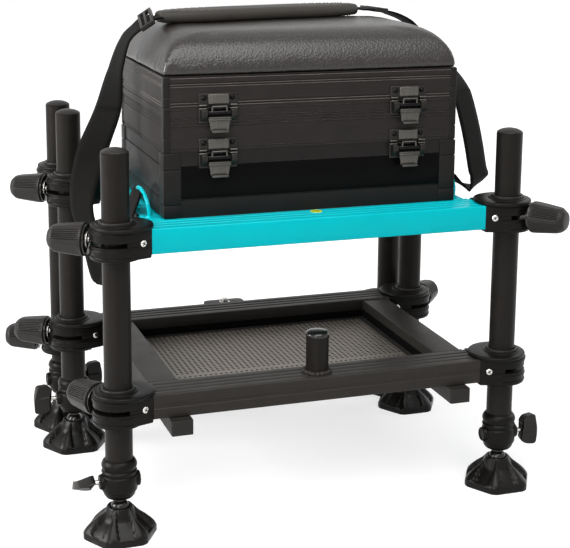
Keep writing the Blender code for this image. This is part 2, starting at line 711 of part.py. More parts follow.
def cushion():
    """The padded seat: flush with the lid at its foot, rolled over above it, crowned on top."""
    rings = [(0.001, 0.0), (0.0, 0.12), (0.002, 0.34), (0.009, 0.60), (0.018, 0.785), (0.030, 0.90), (0.058, 0.98)]
    bm = bmesh.new()
    half_x, half_y = BOX_W / 2, BOX_D / 2
    bmesh.ops.create_grid(bm, x_segments=1, y_segments=1, size=1.0)
    bmesh.ops.scale(bm, vec=(half_x - rings[0][0], half_y - rings[0][0], 1), verts=bm.verts)
    bmesh.ops.bevel(bm, geom=bm.verts[:], offset=CUSHION_CORNER, segments=3, profile=0.5,
                    affect='VERTICES', material=-1)
    bmesh.ops.subdivide_edges(bm, edges=[e for e in bm.edges if e.calc_length() > 2 * CUSHION_CORNER],
                              cuts=5)
    top = bm.faces[:]
    before = rings[0]
    for inset, share in rings[1:]:
        lifted = bmesh.ops.extrude_face_region(bm, geom=top)["geom"]
        bmesh.ops.delete(bm, geom=top, context='FACES_ONLY')
        top = [item for item in lifted if isinstance(item, bmesh.types.BMFace)]
        moved = [item for item in lifted if isinstance(item, bmesh.types.BMVert)]
        bmesh.ops.scale(bm, verts=moved, vec=((half_x - inset) / (half_x - before[0]),
                                              (half_y - inset) / (half_y - before[0]), 1))
        bmesh.ops.translate(bm, verts=moved, vec=(0, 0, (share - before[1]) * CUSHION_H))
        before = (inset, share)
    crown = bmesh.ops.poke(bm, faces=top)["verts"]
    bmesh.ops.translate(bm, verts=crown, vec=(0, 0, (1 - before[1]) * CUSHION_H))
    floor = [v for v in bm.verts if v.co.z < 1e-6]
    bmesh.ops.holes_fill(bm, edges=[e for e in bm.edges if e.is_boundary and e.verts[0] in floor])
    bmesh.ops.translate(bm, verts=bm.verts, vec=(0, (BOX_FRONT + BOX_BACK) / 2, CUSHION_Z))
    part("seat_cushion", tool("cushion", bm), LEATHER)


def ribbon(name, route):
    """Flat webbing along a route of points, each with its width's heading."""
    spots = smooth_route(route)
    bm = bmesh.new()
    pairs = []
    for place, across in spots:
        side = across.normalized() * STRAP_W / 2
        pairs.append((bm.verts.new(place - side), bm.verts.new(place + side)))
    for (a, b), (c, d) in zip(pairs, pairs[1:]):
        bm.faces.new((a, b, d, c))
    mesh = bpy.data.meshes.new(name)
    bm.to_mesh(mesh)
    bm.free()
    strip = link(name, mesh)
    thick = strip.modifiers.new("thick", 'SOLIDIFY')
    thick.thickness = STRAP_T
    thick.offset = 0.0
    part(name, flattened(strip), WEBBING)


def smooth_route(route, steps=3):
    """Points on a smooth curve through the route, with their width headings."""
    places = [Vector(place) for place, across in route]
    headings = [Vector(across) for place, across in route]
    spots = []
    for i in range(len(route) - 1):
        before = places[max(i - 1, 0)]
        after = places[min(i + 2, len(places) - 1)]
        a, b = places[i], places[i + 1]
        for step in range(steps):
            t = step / steps
            bend = 0.5 * (2 * a + (b - before) * t + (2 * before - 5 * a + 4 * b - after) * t * t
                          + (3 * a - before - 3 * b + after) * t ** 3)
            spots.append((bend, headings[i].lerp(headings[i + 1], t)))
    spots.append((places[-1], headings[-1]))
    return spots


def straps():
    """The shoulder strap: padded sleeve on the cushion, and a webbing fall each side."""
    middle = Vector((-0.022, 0.200, CUSHION_TOP + TOUCH + PAD_T / 2))
    turn = math.radians(12.5)
    along = Vector((math.cos(turn), math.sin(turn), 0))
    across = Vector((-along.y, along.x, 0))
    end = along * (PAD_L / 2 + TOUCH)
    drop = Vector((0, 0, PAD_DROOP))
    sleeve(Matrix.Translation(middle) @ Matrix.Rotation(turn, 4, 'Z'))
    level, lean = (0.0, 1.0, 0.0), (0.85, 0.53, 0.0)
    loop_x = LOOP_X + LOOP_LEAN + LOOP_R + TOUCH + STRAP_T / 2
    loop_z = SEAT_Z - LOOP_SUNK + LOOP_RISE - LOOP_R
    left_brow = [((0.0138, 0.1345, 0.0066), across), ((-0.001, 0.140, -0.0055), (-0.1, 0.99, 0.0)),
                 ((-0.017, 0.146, -0.0237), (-0.05, 1.0, 0.0)),
                 ((-0.030, 0.150, -0.0647), (-0.2, 0.98, 0.0)), ((-0.041, 0.152, -0.1187), (-0.62, 0.78, 0.0))]
    left_fall = [((-0.0515, 0.088, 0.064), (-0.85, 0.52, 0.0)), ((-0.070, 0.070, -0.002), (-0.5, 0.86, 0.0)),
                 ((-0.057, 0.060, -0.057), (-0.5, 0.86, 0.0)), ((-0.045, 0.052, -0.106), (-0.6, 0.8, 0.0)),
                 ((-0.037, 0.036, -0.108), (-0.6, 0.8, 0.0)), ((-0.030, 0.020, -0.060), (-0.3, 0.95, 0.0)),
                 ((-0.0203, 0.006, -0.012), level)]
    right_brow = [((-0.033, 0.212, 0.0053), across), ((-0.008, 0.206, -0.0017), across),
                  ((0.0135, 0.190, -0.0157), level), ((0.026, 0.150, -0.047), (0.15, 0.98, 0.0)),
                  ((0.0395, 0.100, -0.072), (0.4, 0.8, 0.0)), ((0.040, 0.066, -0.101), lean)]
    right_fall = [((0.0318, -0.012, 0.104), lean), ((0.0368, -0.020, 0.070), lean),
                  ((0.0428, -0.022, 0.036), lean), ((0.0463, -0.022, 0.022), lean),
                  ((0.037, -0.018, 0.006), (0.5, 0.8, 0.0)), ((0.0213, -0.006, 0.012), level)]
    ribbon("strap_left", [(middle - end - drop, across), *placed(-1, left_brow, left_fall),
                          ((-loop_x, LOOP_Y, loop_z), level)])
    ribbon("strap_right", [(middle + end - drop, across), *placed(1, right_brow, right_fall),
                           ((loop_x, LOOP_Y, loop_z), level)])


def placed(sign, brow, fall):
    """A side's route: its upper points from the cushion's top edge, its lower from the loop."""
    corner = Vector((sign * BOX_W / 2, BOX_FRONT, CUSHION_TOP))
    loop = Vector((sign * LOOP_X, LOOP_Y, SEAT_Z))
    upper = [(corner + Vector(offset), heading) for offset, heading in brow]
    return upper + [(loop + Vector(offset), heading) for offset, heading in fall]


def sleeve(place):
    """The padded sleeve, lying over the crown and drooping towards its ends."""
    bm = bmesh.new()
    bmesh.ops.create_cube(bm, size=1.0)
    bmesh.ops.scale(bm, vec=(PAD_L, PAD_W, PAD_T), verts=bm.verts)
    long_edges = [e for e in bm.edges if abs(e.verts[0].co.x - e.verts[1].co.x) > PAD_L / 2]
    bmesh.ops.subdivide_edges(bm, edges=long_edges, cuts=7)
    bmesh.ops.bevel(bm, geom=[e for e in bm.edges if len(e.link_faces) == 2 and e.calc_face_angle() > 1],
                    offset=PAD_T * 0.3, segments=2, profile=0.5, affect='EDGES', material=-1)
    for vertex in bm.verts:
        vertex.co.z -= PAD_DROOP * (2 * vertex.co.x / PAD_L) ** 2
    bmesh.ops.transform(bm, matrix=place, verts=bm.verts)
    part("strap_sleeve", tool("sleeve", bm), WEBBING)


seat_frame()
footplate()
carrier()
clamps()
legs()
knobs()
case()
cushion()
straps()
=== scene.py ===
"""Angler's seat box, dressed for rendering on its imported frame.

Laid out as an add-on: sizes and colours are properties, and each group of like pieces is an operator.
Metres, +Z up, -Y to the front, the origin on the floor midway between the front legs.
"""
import json
import math

import bmesh
import bpy
from bpy.props import FloatProperty, FloatVectorProperty, IntProperty, PointerProperty
from bpy.types import Operator, Panel, PropertyGroup
from mathutils import Matrix, Vector, noise


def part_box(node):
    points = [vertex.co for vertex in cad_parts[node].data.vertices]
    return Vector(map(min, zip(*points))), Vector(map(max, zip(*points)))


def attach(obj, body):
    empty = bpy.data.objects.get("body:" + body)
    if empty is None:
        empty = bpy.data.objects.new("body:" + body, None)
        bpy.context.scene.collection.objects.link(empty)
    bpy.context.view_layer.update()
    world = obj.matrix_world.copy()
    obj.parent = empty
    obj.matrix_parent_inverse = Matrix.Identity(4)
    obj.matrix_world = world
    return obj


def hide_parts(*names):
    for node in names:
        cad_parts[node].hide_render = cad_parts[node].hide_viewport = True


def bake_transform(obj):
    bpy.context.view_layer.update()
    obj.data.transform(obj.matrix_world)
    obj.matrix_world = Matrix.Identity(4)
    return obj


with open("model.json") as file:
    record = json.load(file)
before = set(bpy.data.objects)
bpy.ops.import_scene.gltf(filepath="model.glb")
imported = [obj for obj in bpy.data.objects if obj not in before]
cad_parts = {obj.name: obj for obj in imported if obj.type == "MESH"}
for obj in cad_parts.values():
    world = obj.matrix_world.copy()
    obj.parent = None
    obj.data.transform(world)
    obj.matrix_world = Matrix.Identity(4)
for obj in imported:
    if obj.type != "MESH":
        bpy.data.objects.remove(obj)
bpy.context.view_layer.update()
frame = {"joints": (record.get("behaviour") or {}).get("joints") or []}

bl_info = {
    "name": "Angler's seat box",
    "version": (1, 0, 0),
    "blender": (4, 5, 0),
    "location": "View3D > Sidebar > Seat box",
    "description": "Builds the dressed pieces of a seat box on its packed frame",
    "category": "Object",
}

LEGS = ("front_left", "front_right", "mid_left", "mid_right", "rear_left", "rear_right")
SIDES = (("left", -1), ("right", 1))
TOUCH = 0.0003
JOINTS = {joint["name"]: joint for joint in frame["joints"]}


def axis_of(name):
    """The upright line through the middle of a node, as a point on the floor."""
    low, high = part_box(name)
    return Vector(((low.x + high.x) / 2, (low.y + high.y) / 2, 0))


# The frame's rails, as the solids have them
SEAT_LOW, SEAT_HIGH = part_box("seat_frame")
MID_Y = axis_of("leg_mid_left").y
REAR_Y = axis_of("leg_rear_left").y
SEAT_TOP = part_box("case_base")[0].z - TOUCH
CARRIER_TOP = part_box("slide_carrier")[1].z
FOOT_TOP = SEAT_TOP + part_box("foot_clamp_front_left")[0].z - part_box("seat_clamp_front_left")[0].z
RAIL_H = FOOT_TOP - TOUCH - CARRIER_TOP
RAIL_END = SEAT_HIGH.x
RAIL_FRONT = SEAT_LOW.y
RAIL_BACK = SEAT_HIGH.y - MID_Y
RAIL_BAND = 0.0007
SIDE_W = 0.041
SIDE_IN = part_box("footplate_pan")[1].x + TOUCH
SIDE_OUT = SIDE_IN + SIDE_W

# The legs, with their collars and ball stems, as the solids have them
LEG_X = axis_of("leg_front_right").x
LEG_R = 0.018
CAP_H = 0.0055
COLLAR_H = 0.055
SCREW_DROP = 0.031
STEM_R = 0.0070
STEM_BORE_R = 0.0076
STEM_ROOM = 0.010
BALL_R = 0.0125

# The case, as the solids have it
POST_PROUD = 0.0012
LATCH_PROUD = 0.0115
HINGE_PROUD = 0.009
BOX_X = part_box("case_base")[1].x - POST_PROUD
BOX_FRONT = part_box("case_base")[0].y + LATCH_PROUD
BOX_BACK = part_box("case_base")[1].y - HINGE_PROUD
BOX_MID = (BOX_FRONT + BOX_BACK) / 2
TRAY_SEAM = JOINTS["tray_hinge"]["pos_m"][2]
LID_SEAM = JOINTS["lid_hinge"]["pos_m"][2]
HINGE_Y = JOINTS["lid_hinge"]["pos_m"][1]
LATCH_X = JOINTS["latch_upper_right_pull"]["pos_m"][0]
CUSHION_LOW, CUSHION_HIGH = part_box("seat_cushion")

# The strap's wire loops on the side rails
LOOP_OUT = 0.0132
LOOP_X = BOX_X + LOOP_OUT
LOOP_Y = 0.090
LOOP_R = 0.0026
LOOP_HALF = 0.036
LOOP_ROOT = 0.004
LOOP_RISE = 0.034
LOOP_LEAN = 0.004

# The photo's width, and how far its middle lies off the lens's axis, in pixels
PHOTO_W_PX = 570
PHOTO_OFF_X_PX, PHOTO_OFF_Y_PX = -15.39, -101.62


def length(name, words, default, least):
    """A length property with its name, description, default and least value."""
    return FloatProperty(name=name, description=words, default=default, min=least, unit='LENGTH')


def colour(name, words, default):
    """A colour property with its name, description and default."""
    return FloatVectorProperty(name=name, description=words, default=default, subtype='COLOR',
                               size=3, min=0.0, max=1.0)


class SeatBoxSizes(PropertyGroup):
    """Sizes of the details that the solids leave plain."""
    rail_edge: length("Rail edge", "Rounding of the rails' long edges", 0.0020, 0.0002)
    groove_width: length("Rail groove", "Width of the grooves along the rails' tops", 0.0040, 0.001)
    groove_depth: length("Groove depth", "Depth of the grooves along the rails' tops", 0.0011, 0.0001)
    weld: length("Weld bead", "Radius of the weld beads on the frames", 0.0019, 0.0005)
    hole_pitch: length("Hole pitch", "Spacing across of the holes in the footplate's pan", 0.0075, 0.004)
    hole_row: length("Hole row", "Spacing front to back of the rows of holes in the pan", 0.0070, 0.004)
    hole_land: length("Hole land", "Half of the metal left between two holes in the pan", 0.0018, 0.0003)
    knob_groups: IntProperty(name="Knob sides", default=6, min=3, max=8,
                             description="Sides round each clamp knob, every second one grooved")
    cushion_swell: length("Cushion swell", "Furthest that the padding pushes its cover out", 0.0012, 0.0)
    strap_width: length("Strap width", "Width of the strap's webbing", 0.045, 0.02)
    strap_thickness: length("Strap thickness", "Thickness of the strap's webbing", 0.0024, 0.0005)
    stitch: length("Stitch", "Length of a stitch round the strap's sleeve", 0.0034, 0.001)


class SeatBoxColours(PropertyGroup):
    """Colours of the finishes."""
    turquoise: colour("Seat frame", "Gloss paint of the seat frame", (0.0, 0.462, 0.520))
    anodised: colour("Anodised", "Legs and footplate rails", (0.0125, 0.0108, 0.0094))
    casting: colour("Castings", "Leg clamps, screw collars and ball stems", (0.0085, 0.0074, 0.0064))
    moulding: colour("Mouldings", "Knobs, caps and wing screws", (0.0150, 0.0132, 0.0118))
    rubber: colour("Feet", "Spreading feet", (0.0090, 0.0078, 0.0068))
    case: colour("Case", "Case sections", (0.0185, 0.0160, 0.0148))
    # The panels' colour also gives painted shade: at four tenths in the pan's holes, and in the latches'
    # recesses.
    panel: colour("Panels", "Bare panels, lining and dark screws of the case", (0.0030, 0.0030, 0.0030))
    latch: colour("Latches", "Gunmetal of the latches", (0.110, 0.104, 0.094))
    leathercloth: colour("Cushion", "Leathercloth of the seat", (0.0150, 0.0130, 0.0118))
    webbing: colour("Webbing", "Strap and its sleeve", (0.0070, 0.0063, 0.0054))
    vial: colour("Level", "Fluid of the spirit level", (0.60, 0.66, 0.03))
    steel: colour("Steel", "Screws, washers and shanks", (0.62, 0.60, 0.57))


def node(tree, kind, values=None, **settings):
    """A shader node with its input values and settings."""
    made = tree.nodes.new(kind)
    for key, value in settings.items():
        setattr(made, key, value)
    for key, value in (values or {}).items():
        made.inputs[key].default_value = value
    return made


def wire(tree, *links):
    """Links nodes to each other, each link as (from, its output, to, its input)."""
    for start, output, end, entry in links:
        tree.links.new(start.outputs[output], end.inputs[entry])


def effect(name, inputs, *outputs):
    """An empty node group from coordinates and values to values, and its two end nodes."""
    tree = bpy.data.node_groups.new(name, 'ShaderNodeTree')
    tree.interface.new_socket("Vector", in_out='INPUT', socket_type='NodeSocketVector')
    for key, value in inputs.items():
        tree.interface.new_socket(key, in_out='INPUT', socket_type='NodeSocketFloat').default_value = value
    for key in outputs:
        tree.interface.new_socket(key, in_out='OUTPUT', socket_type='NodeSocketFloat')
    return tree, tree.nodes.new('NodeGroupInput'), tree.nodes.new('NodeGroupOutput')


def mottle_effect():
    """Slow and fine patches of handling, from 0 to 1."""
    tree, into, out = effect("mottle", {"Scale": 30.0, "Contrast": 0.3}, "Mask")
    clouds = node(tree, 'ShaderNodeTexNoise', {"Detail": 5.0, "Roughness": 0.62})
    half = node(tree, 'ShaderNodeMath', {1: 0.5}, operation='SUBTRACT')
    stretch = node(tree, 'ShaderNodeMath', {1: 1.0}, operation='MULTIPLY')
    back = node(tree, 'ShaderNodeMath', {1: 0.5}, operation='ADD', use_clamp=True)
    wire(tree, (into, "Vector", clouds, "Vector"), (into, "Scale", clouds, "Scale"), (clouds, "Fac", half, 0),
         (half, 0, stretch, 0), (into, "Contrast", stretch, 1), (stretch, 0, back, 0), (back, 0, out, "Mask"))


def noise_effect(name, scale, detail, roughness, output):
    """Plain noise: a fine orange-peel grain, or drawn lines from stretched coordinates."""
    tree, into, out = effect(name, {"Scale": scale}, output)
    grains = node(tree, 'ShaderNodeTexNoise', {"Detail": detail, "Roughness": roughness})
    wire(tree, (into, "Vector", grains, "Vector"), (into, "Scale", grains, "Scale"),
         (grains, "Fac", out, output))


def patchy(tree, into, out, mask, values):
    """Breaks a mask into patches and scales it by the group's amount."""
    patches = node(tree, 'ShaderNodeTexNoise', values)
    broken = node(tree, 'ShaderNodeMath', operation='MULTIPLY')
    amount = node(tree, 'ShaderNodeMath', operation='MULTIPLY', use_clamp=True)
    wire(tree, (into, "Vector", patches, "Vector"), (mask, "Result", broken, 0), (patches, "Fac", broken, 1),
         (broken, 0, amount, 0), (into, "Amount", amount, 1), (amount, 0, out, "Mask"))


def rub_effect():
    """Paler rubbed metal along the edges that stand out, as a mask."""
    tree, into, out = effect("edge rub", {"Amount": 0.5}, "Mask")
    shape = node(tree, 'ShaderNodeNewGeometry')
    edges = node(tree, 'ShaderNodeMapRange', {"From Min": 0.58, "From Max": 0.72})
    wire(tree, (shape, "Pointiness", edges, "Value"))
    patchy(tree, into, out, edges, {"Scale": 70.0, "Detail": 4.0})


def dust_effect():
    """A thin film of dust on what faces up, as a mask."""
    tree, into, out = effect("settled dust", {"Amount": 0.1}, "Mask")
    shape = node(tree, 'ShaderNodeNewGeometry')
    way = node(tree, 'ShaderNodeSeparateXYZ')
    up = node(tree, 'ShaderNodeMapRange', {"From Min": 0.3, "From Max": 1.0})
    wire(tree, (shape, "Normal", way, "Vector"), (way, "Z", up, "Value"))
    patchy(tree, into, out, up, {"Scale": 22.0, "Detail": 6.0, "Roughness": 0.7})


def weave_effect():
    """Plain weave across and along a strap from its UV map in metres, as a height and a shade: painted
    highlight on the threads' crowns and painted shade in their dips, with a fine fibre tone.
    """
    tree, into, out = effect("plain weave", {"Thread": 0.0016}, "Height", "Shade")
    scale = node(tree, 'ShaderNodeMath', {0: math.pi}, operation='DIVIDE')
    spread = node(tree, 'ShaderNodeVectorMath', operation='SCALE')
    split = node(tree, 'ShaderNodeSeparateXYZ')
    warp = node(tree, 'ShaderNodeMath', operation='SINE')
    weft = node(tree, 'ShaderNodeMath', operation='SINE')
    cross = node(tree, 'ShaderNodeMath', operation='MULTIPLY')
    lift = node(tree, 'ShaderNodeMath', {1: 0.5, 2: 0.5}, operation='MULTIPLY_ADD')
    fibre = node(tree, 'ShaderNodeTexNoise', {"Scale": 2600.0, "Detail": 2.0})
    fine = node(tree, 'ShaderNodeMath', {1: 0.35}, operation='MULTIPLY')
    # Painted highlight and shade: lighter where the threads cross over, darker where they dip, with a fine
    # fibre tone over it.
    shade = node(tree, 'ShaderNodeMath', {1: 0.65}, operation='MULTIPLY_ADD')
    wire(tree, (into, "Thread", scale, 1), (into, "Vector", spread, 0), (scale, 0, spread, "Scale"),
         (spread, 0, split, 0), (split, "X", warp, 0), (split, "Y", weft, 0), (warp, 0, cross, 0),
         (weft, 0, cross, 1), (cross, 0, lift, 0), (into, "Vector", fibre, "Vector"), (lift, 0, shade, 0),
         (fibre, "Fac", fine, 0), (fine, 0, shade, 2), (lift, 0, out, "Height"), (shade, 0, out, "Shade"))


def material(name, values):
    """A new material's node tree and its shader, with the shader's plain values."""
    made = bpy.data.materials.new(name)
    made.use_nodes = True
    shader = made.node_tree.nodes["Principled BSDF"]
    for key, value in values.items():
        shader.inputs[key].default_value = value
    return made.node_tree, shader


def effect_in(tree, name, where, values):
    """One of the shared effects in a material, on coordinates from a node's output."""
    made = node(tree, 'ShaderNodeGroup', values, node_tree=bpy.data.node_groups[name])
    wire(tree, (*where, made, "Vector"))
    return made


def bumped(tree, shader, height, strength, distance):
    """Gives a shader the relief of a height, which is a node with its output."""
    bump = node(tree, 'ShaderNodeBump', {"Strength": strength, "Distance": distance})
    wire(tree, (*height, bump, "Height"), (bump, "Normal", shader, "Normal"))


def tinted(tint, share):
    """A share of a colour, no brighter than white."""
    return (*[min(c * share, 1) for c in tint], 1)


def finish(name, tint, roughness, metallic=0.0, coat=0.0, mottle=0.25, scale=30.0, grain=0.0,
           grain_scale=900.0, rub=0.0, dust=0.0, drawn=None, specular=0.28):
    """A finish from its colour and constants, with handling marks, grain, rubbed edges and dust where asked."""
    tree, shader = material(name, {"Metallic": metallic, "Coat Weight": coat, "Coat Roughness": 0.08,
                                   "Specular IOR Level": specular})
    where = (node(tree, 'ShaderNodeTexCoord'), "Object")
    marks = effect_in(tree, "mottle", where, {"Scale": scale, "Contrast": 1.6})
    shown = node(tree, 'ShaderNodeMix', {"A": tinted(tint, 1 - mottle), "B": tinted(tint, 1 + mottle)},
                 data_type='RGBA')
    rough = node(tree, 'ShaderNodeMapRange',
                 {"To Min": max(roughness - 0.07, 0.03), "To Max": roughness + 0.07})
    wire(tree, (marks, "Mask", shown, "Factor"), (marks, "Mask", rough, "Value"))
    for kind, amount in (("edge rub", rub), ("settled dust", dust)):
        if amount:
            held = effect_in(tree, kind, where, {"Amount": amount})
            over = node(tree, 'ShaderNodeMix', {"B": tinted((1, 0.96, 0.91), 0.16)}, data_type='RGBA')
            wire(tree, (held, "Mask", over, "Factor"), (shown, "Result", over, "A"))
            shown = over
    height = None
    if drawn:
        turn = node(tree, 'ShaderNodeMapping', {"Scale": drawn})
        wire(tree, (*where, turn, "Vector"))
        lines = effect_in(tree, "drawn lines", (turn, "Vector"), {})
        streak = node(tree, 'ShaderNodeMapRange',
                      {"From Min": 0.3, "From Max": 0.7, "To Min": 0.88, "To Max": 1.12})
        over = node(tree, 'ShaderNodeMix', {"Factor": 1.0}, data_type='RGBA', blend_type='MULTIPLY')
        wire(tree, (lines, "Lines", streak, "Value"), (shown, "Result", over, "A"),
             (streak, "Result", over, "B"))
        shown = over
        height = (lines, "Lines")
    if grain:
        height = (effect_in(tree, "fine grain", where, {"Scale": grain_scale}), "Height")
    if height:
        bumped(tree, shader, height, 0.5, grain or 0.00006)
    wire(tree, (shown, "Result", shader, "Base Color"), (rough, "Result", shader, "Roughness"))


def leathercloth(name, tint, cell):
    """Pebbled leathercloth: rounded cells with fine creases between them, painted lighter on the cells' tops
    and darker in the creases.
    """
    tree, shader = material(name, {"Specular IOR Level": 0.5})
    where = (node(tree, 'ShaderNodeTexCoord'), "Object")
    warp = node(tree, 'ShaderNodeTexNoise', {"Scale": 160.0, "Detail": 2.0})
    shift = node(tree, 'ShaderNodeVectorMath', {"Scale": 0.0012}, operation='SCALE')
    bent = node(tree, 'ShaderNodeVectorMath', operation='ADD')
    cells = node(tree, 'ShaderNodeTexVoronoi', {"Scale": 1 / cell, "Smoothness": 0.25}, feature='SMOOTH_F1')
    pores = node(tree, 'ShaderNodeTexNoise', {"Scale": 2400.0, "Detail": 2.0})
    rise = node(tree, 'ShaderNodeMapRange', {"From Min": 0.10, "From Max": 0.62, "To Min": 1.0, "To Max": 0.0})
    fine = node(tree, 'ShaderNodeMath', {1: 0.12}, operation='MULTIPLY_ADD')
    marks = effect_in(tree, "mottle", where, {"Scale": 18.0, "Contrast": 1.5})
    # Painted highlight and shade: the cells' tops lighter and the creases between them darker.
    shade = node(tree, 'ShaderNodeMix', {"A": tinted(tint, 0.55), "B": tinted(tint, 1.15)}, data_type='RGBA')
    rough = node(tree, 'ShaderNodeMapRange', {"To Min": 0.27, "To Max": 0.38})
    wire(tree, (*where, warp, "Vector"), (warp, "Color", shift, 0), (*where, bent, 0), (shift, 0, bent, 1),
         (bent, 0, cells, "Vector"), (*where, pores, "Vector"), (cells, "Distance", rise, "Value"),
         (pores, "Fac", fine, 0), (rise, "Result", fine, 2), (rise, "Result", shade, "Factor"),
         (shade, "Result", shader, "Base Color"), (marks, "Mask", rough, "Value"),
         (rough, "Result", shader, "Roughness"))
    bumped(tree, shader, (fine, 0), 0.45, 0.0005)


def woven(name, tint, thread, depth, roughness):
    """Woven webbing on a UV map in metres."""
    tree, shader = material(name, {"Roughness": roughness, "Specular IOR Level": 0.06, "Sheen Weight": 0.02})
    flat = node(tree, 'ShaderNodeUVMap', uv_map="weave")
    weave = effect_in(tree, "plain weave", (flat, "UV"), {"Thread": thread})
    # The weave's painted highlight and shade lighten and darken the webbing's colour.
    shade = node(tree, 'ShaderNodeMix', {"A": tinted(tint, 0.4), "B": tinted(tint, 1.5)}, data_type='RGBA')
    wire(tree, (weave, "Shade", shade, "Factor"), (shade, "Result", shader, "Base Color"))
    bumped(tree, shader, (weave, "Height"), 0.7, depth)


class SEATBOX_OT_finishes(Operator):
    """Makes the shared effects and every finish of the seat box"""
    bl_idname = "seatbox.finishes"
    bl_label = "Finishes"

    def execute(self, context):
        tints = context.scene.seat_box_colours
        mottle_effect()
        noise_effect("fine grain", 900.0, 2.0, 0.55, "Height")
        rub_effect()
        dust_effect()
        noise_effect("drawn lines", 600.0, 3.0, 0.6, "Lines")
        weave_effect()

        def part(tint, share):
            return [c * share for c in tint]

        finish("turquoise_paint", tints.turquoise, 0.20, specular=0.08, mottle=0.03, grain=0.00003,
               grain_scale=260.0, dust=0.02)
        finish("anodised_rail", part(tints.anodised, 1.7), 0.46, metallic=0.2, mottle=0.12, rub=0.4, dust=0.05,
               drawn=(0.03, 1, 1), specular=0.16)
        finish("anodised_leg", tints.anodised, 0.38, metallic=0.2, mottle=0.10, rub=0.2, drawn=(1, 1, 0.02),
               specular=0.08)
        finish("cast_metal", part(tints.casting, 0.6), 0.36, mottle=0.2, grain=0.00010, grain_scale=1300.0,
               rub=0.15, specular=0.10)
        finish("moulding", tints.moulding, 0.42, mottle=0.2, grain=0.00008, grain_scale=1500.0, rub=0.2,
               specular=0.18)
        finish("gloss_moulding", tints.casting, 0.16, mottle=0.15, scale=60.0, specular=0.4)
        finish("foot_rubber", part(tints.rubber, 0.65), 0.30, mottle=0.25, grain=0.00009, grain_scale=1100.0,
               rub=0.2, dust=0.02, specular=0.14)
        finish("case_wall", tints.case, 0.48, metallic=0.15, mottle=0.12, rub=0.4, dust=0.03,
               drawn=(0.04, 0.04, 1), specular=0.12)
        # Painted highlight: a finish nine times paler than the case wall, for the upward-facing slopes of the
        # case's grooves.
        finish("case_line", part(tints.case, 9), 0.38, metallic=0.4, mottle=0.3, scale=60.0)
        finish("case_corner", part(tints.case, 0.45), 0.42, mottle=0.18, grain=0.00006, grain_scale=1500.0,
               rub=0.3, specular=0.14)
        finish("bare_panel", tints.panel, 0.22, mottle=0.15, scale=12.0, specular=0.03)
        # Near-black: the case's own lining, and painted shade in the pan's holes and on the sheet beneath them.
        finish("case_lining", part(tints.panel, 0.4), 0.85, mottle=0.3, grain=0.00015, grain_scale=1800.0,
               specular=0.05)
        finish("latch_metal", part(tints.latch, 0.75), 0.38, metallic=0.85, mottle=0.15, rub=0.8,
               drawn=(1, 1, 0.05))
        finish("latch_plate", part(tints.latch, 0.20), 0.42, metallic=0.6, mottle=0.15, rub=0.7,
               drawn=(0.05, 1, 1), specular=0.15)
        finish("latch_edge", part(tints.latch, 0.6), 0.36, metallic=0.8, mottle=0.15)
        finish("pan_metal", part(tints.anodised, 17.0), 0.42, metallic=0.5, mottle=0.12, rub=0.3)
        finish("sleeve_cloth", part(tints.webbing, 5.0), 0.58, mottle=0.15, grain=0.00025, grain_scale=700.0,
               specular=0.2)
        finish("steel", tints.steel, 0.24, metallic=1.0, mottle=0.10, scale=120.0)
        # Dark steel for screws and pegs, which also gives the painted shade in the latches' recesses.
        finish("dark_steel", tints.panel, 0.22, metallic=0.6, mottle=0.2, scale=120.0)
        finish("level_fluid", tints.vial, 0.12, coat=0.6, mottle=0.08)
        finish("stitching", tints.leathercloth, 0.7, mottle=0.2, scale=300.0)
        warmer = [c * warm for c, warm in zip(tints.leathercloth, (1.22, 1.10, 1.0))]
        leathercloth("pebbled_cloth", warmer, 0.0034)
        woven("strap_weave", part(tints.webbing, 0.4), 0.0015, 0.0004, 0.72)
        return {'FINISHED'}


def joined(bm, shape, look=0, place=None):
    """Adds one shape to a piece's mesh, with one of the piece's finishes."""
    if place is not None:
        bmesh.ops.transform(shape, matrix=place, verts=shape.verts)
        if place.determinant() < 0:
            bmesh.ops.reverse_faces(shape, faces=shape.faces)
    for face in shape.faces:
        face.material_index = look
    scrap = bpy.data.meshes.new("scrap")
    shape.to_mesh(scrap)
    shape.free()
    bm.from_mesh(scrap)
    bpy.data.meshes.remove(scrap)


def piece(name, bm, looks, body, slot, *nodes, fold=32):
    """A finished mesh as a named piece that rides on a body and stands for its nodes."""
    mesh = bpy.data.meshes.new(name)
    bm.to_mesh(mesh)
    bm.free()
    for look in looks:
        mesh.materials.append(bpy.data.materials[look])
    mesh.shade_smooth()
    mesh.set_sharp_from_angle(angle=math.radians(fold))
    made = bpy.data.objects.new(name, mesh)
    bpy.context.scene.collection.objects.link(made)
    if body:
        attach(made, body)
    if nodes:
        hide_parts(*nodes)
    return made


def eased(points, steps=3):
    """An outline whose corners with a third value are rounded by that reach."""
    out = []
    for i, point in enumerate(points):
        corner = Vector(point[:2])
        if len(point) < 3:
            out.append(tuple(corner))
            continue
        before, after = Vector(points[i - 1][:2]), Vector(points[(i + 1) % len(points)][:2])
        start = corner + (before - corner).normalized() * point[2]
        end = corner + (after - corner).normalized() * point[2]
        for step in range(steps + 1):
            t = step / steps
            out.append(tuple(start.lerp(corner, t).lerp(corner.lerp(end, t), t)))
    return out


def lathe(profile, steps=48, closed=False):
    """A profile of (radius, height) points spun once round Z."""
    bm = bmesh.new()
    verts = [bm.verts.new((radius, 0, height)) for radius, height in profile]
    edges = [bm.edges.new(pair) for pair in zip(verts, verts[1:])]
    if closed:
        edges.append(bm.edges.new((verts[-1], verts[0])))
    bmesh.ops.spin(bm, geom=verts + edges, cent=(0, 0, 0), axis=(0, 0, 1), dvec=(0, 0, 0),
                   angle=2 * math.pi, steps=steps, use_merge=True)
    bmesh.ops.remove_doubles(bm, verts=bm.verts, dist=1e-6)
    bmesh.ops.recalc_face_normals(bm, faces=bm.faces)
    return bm


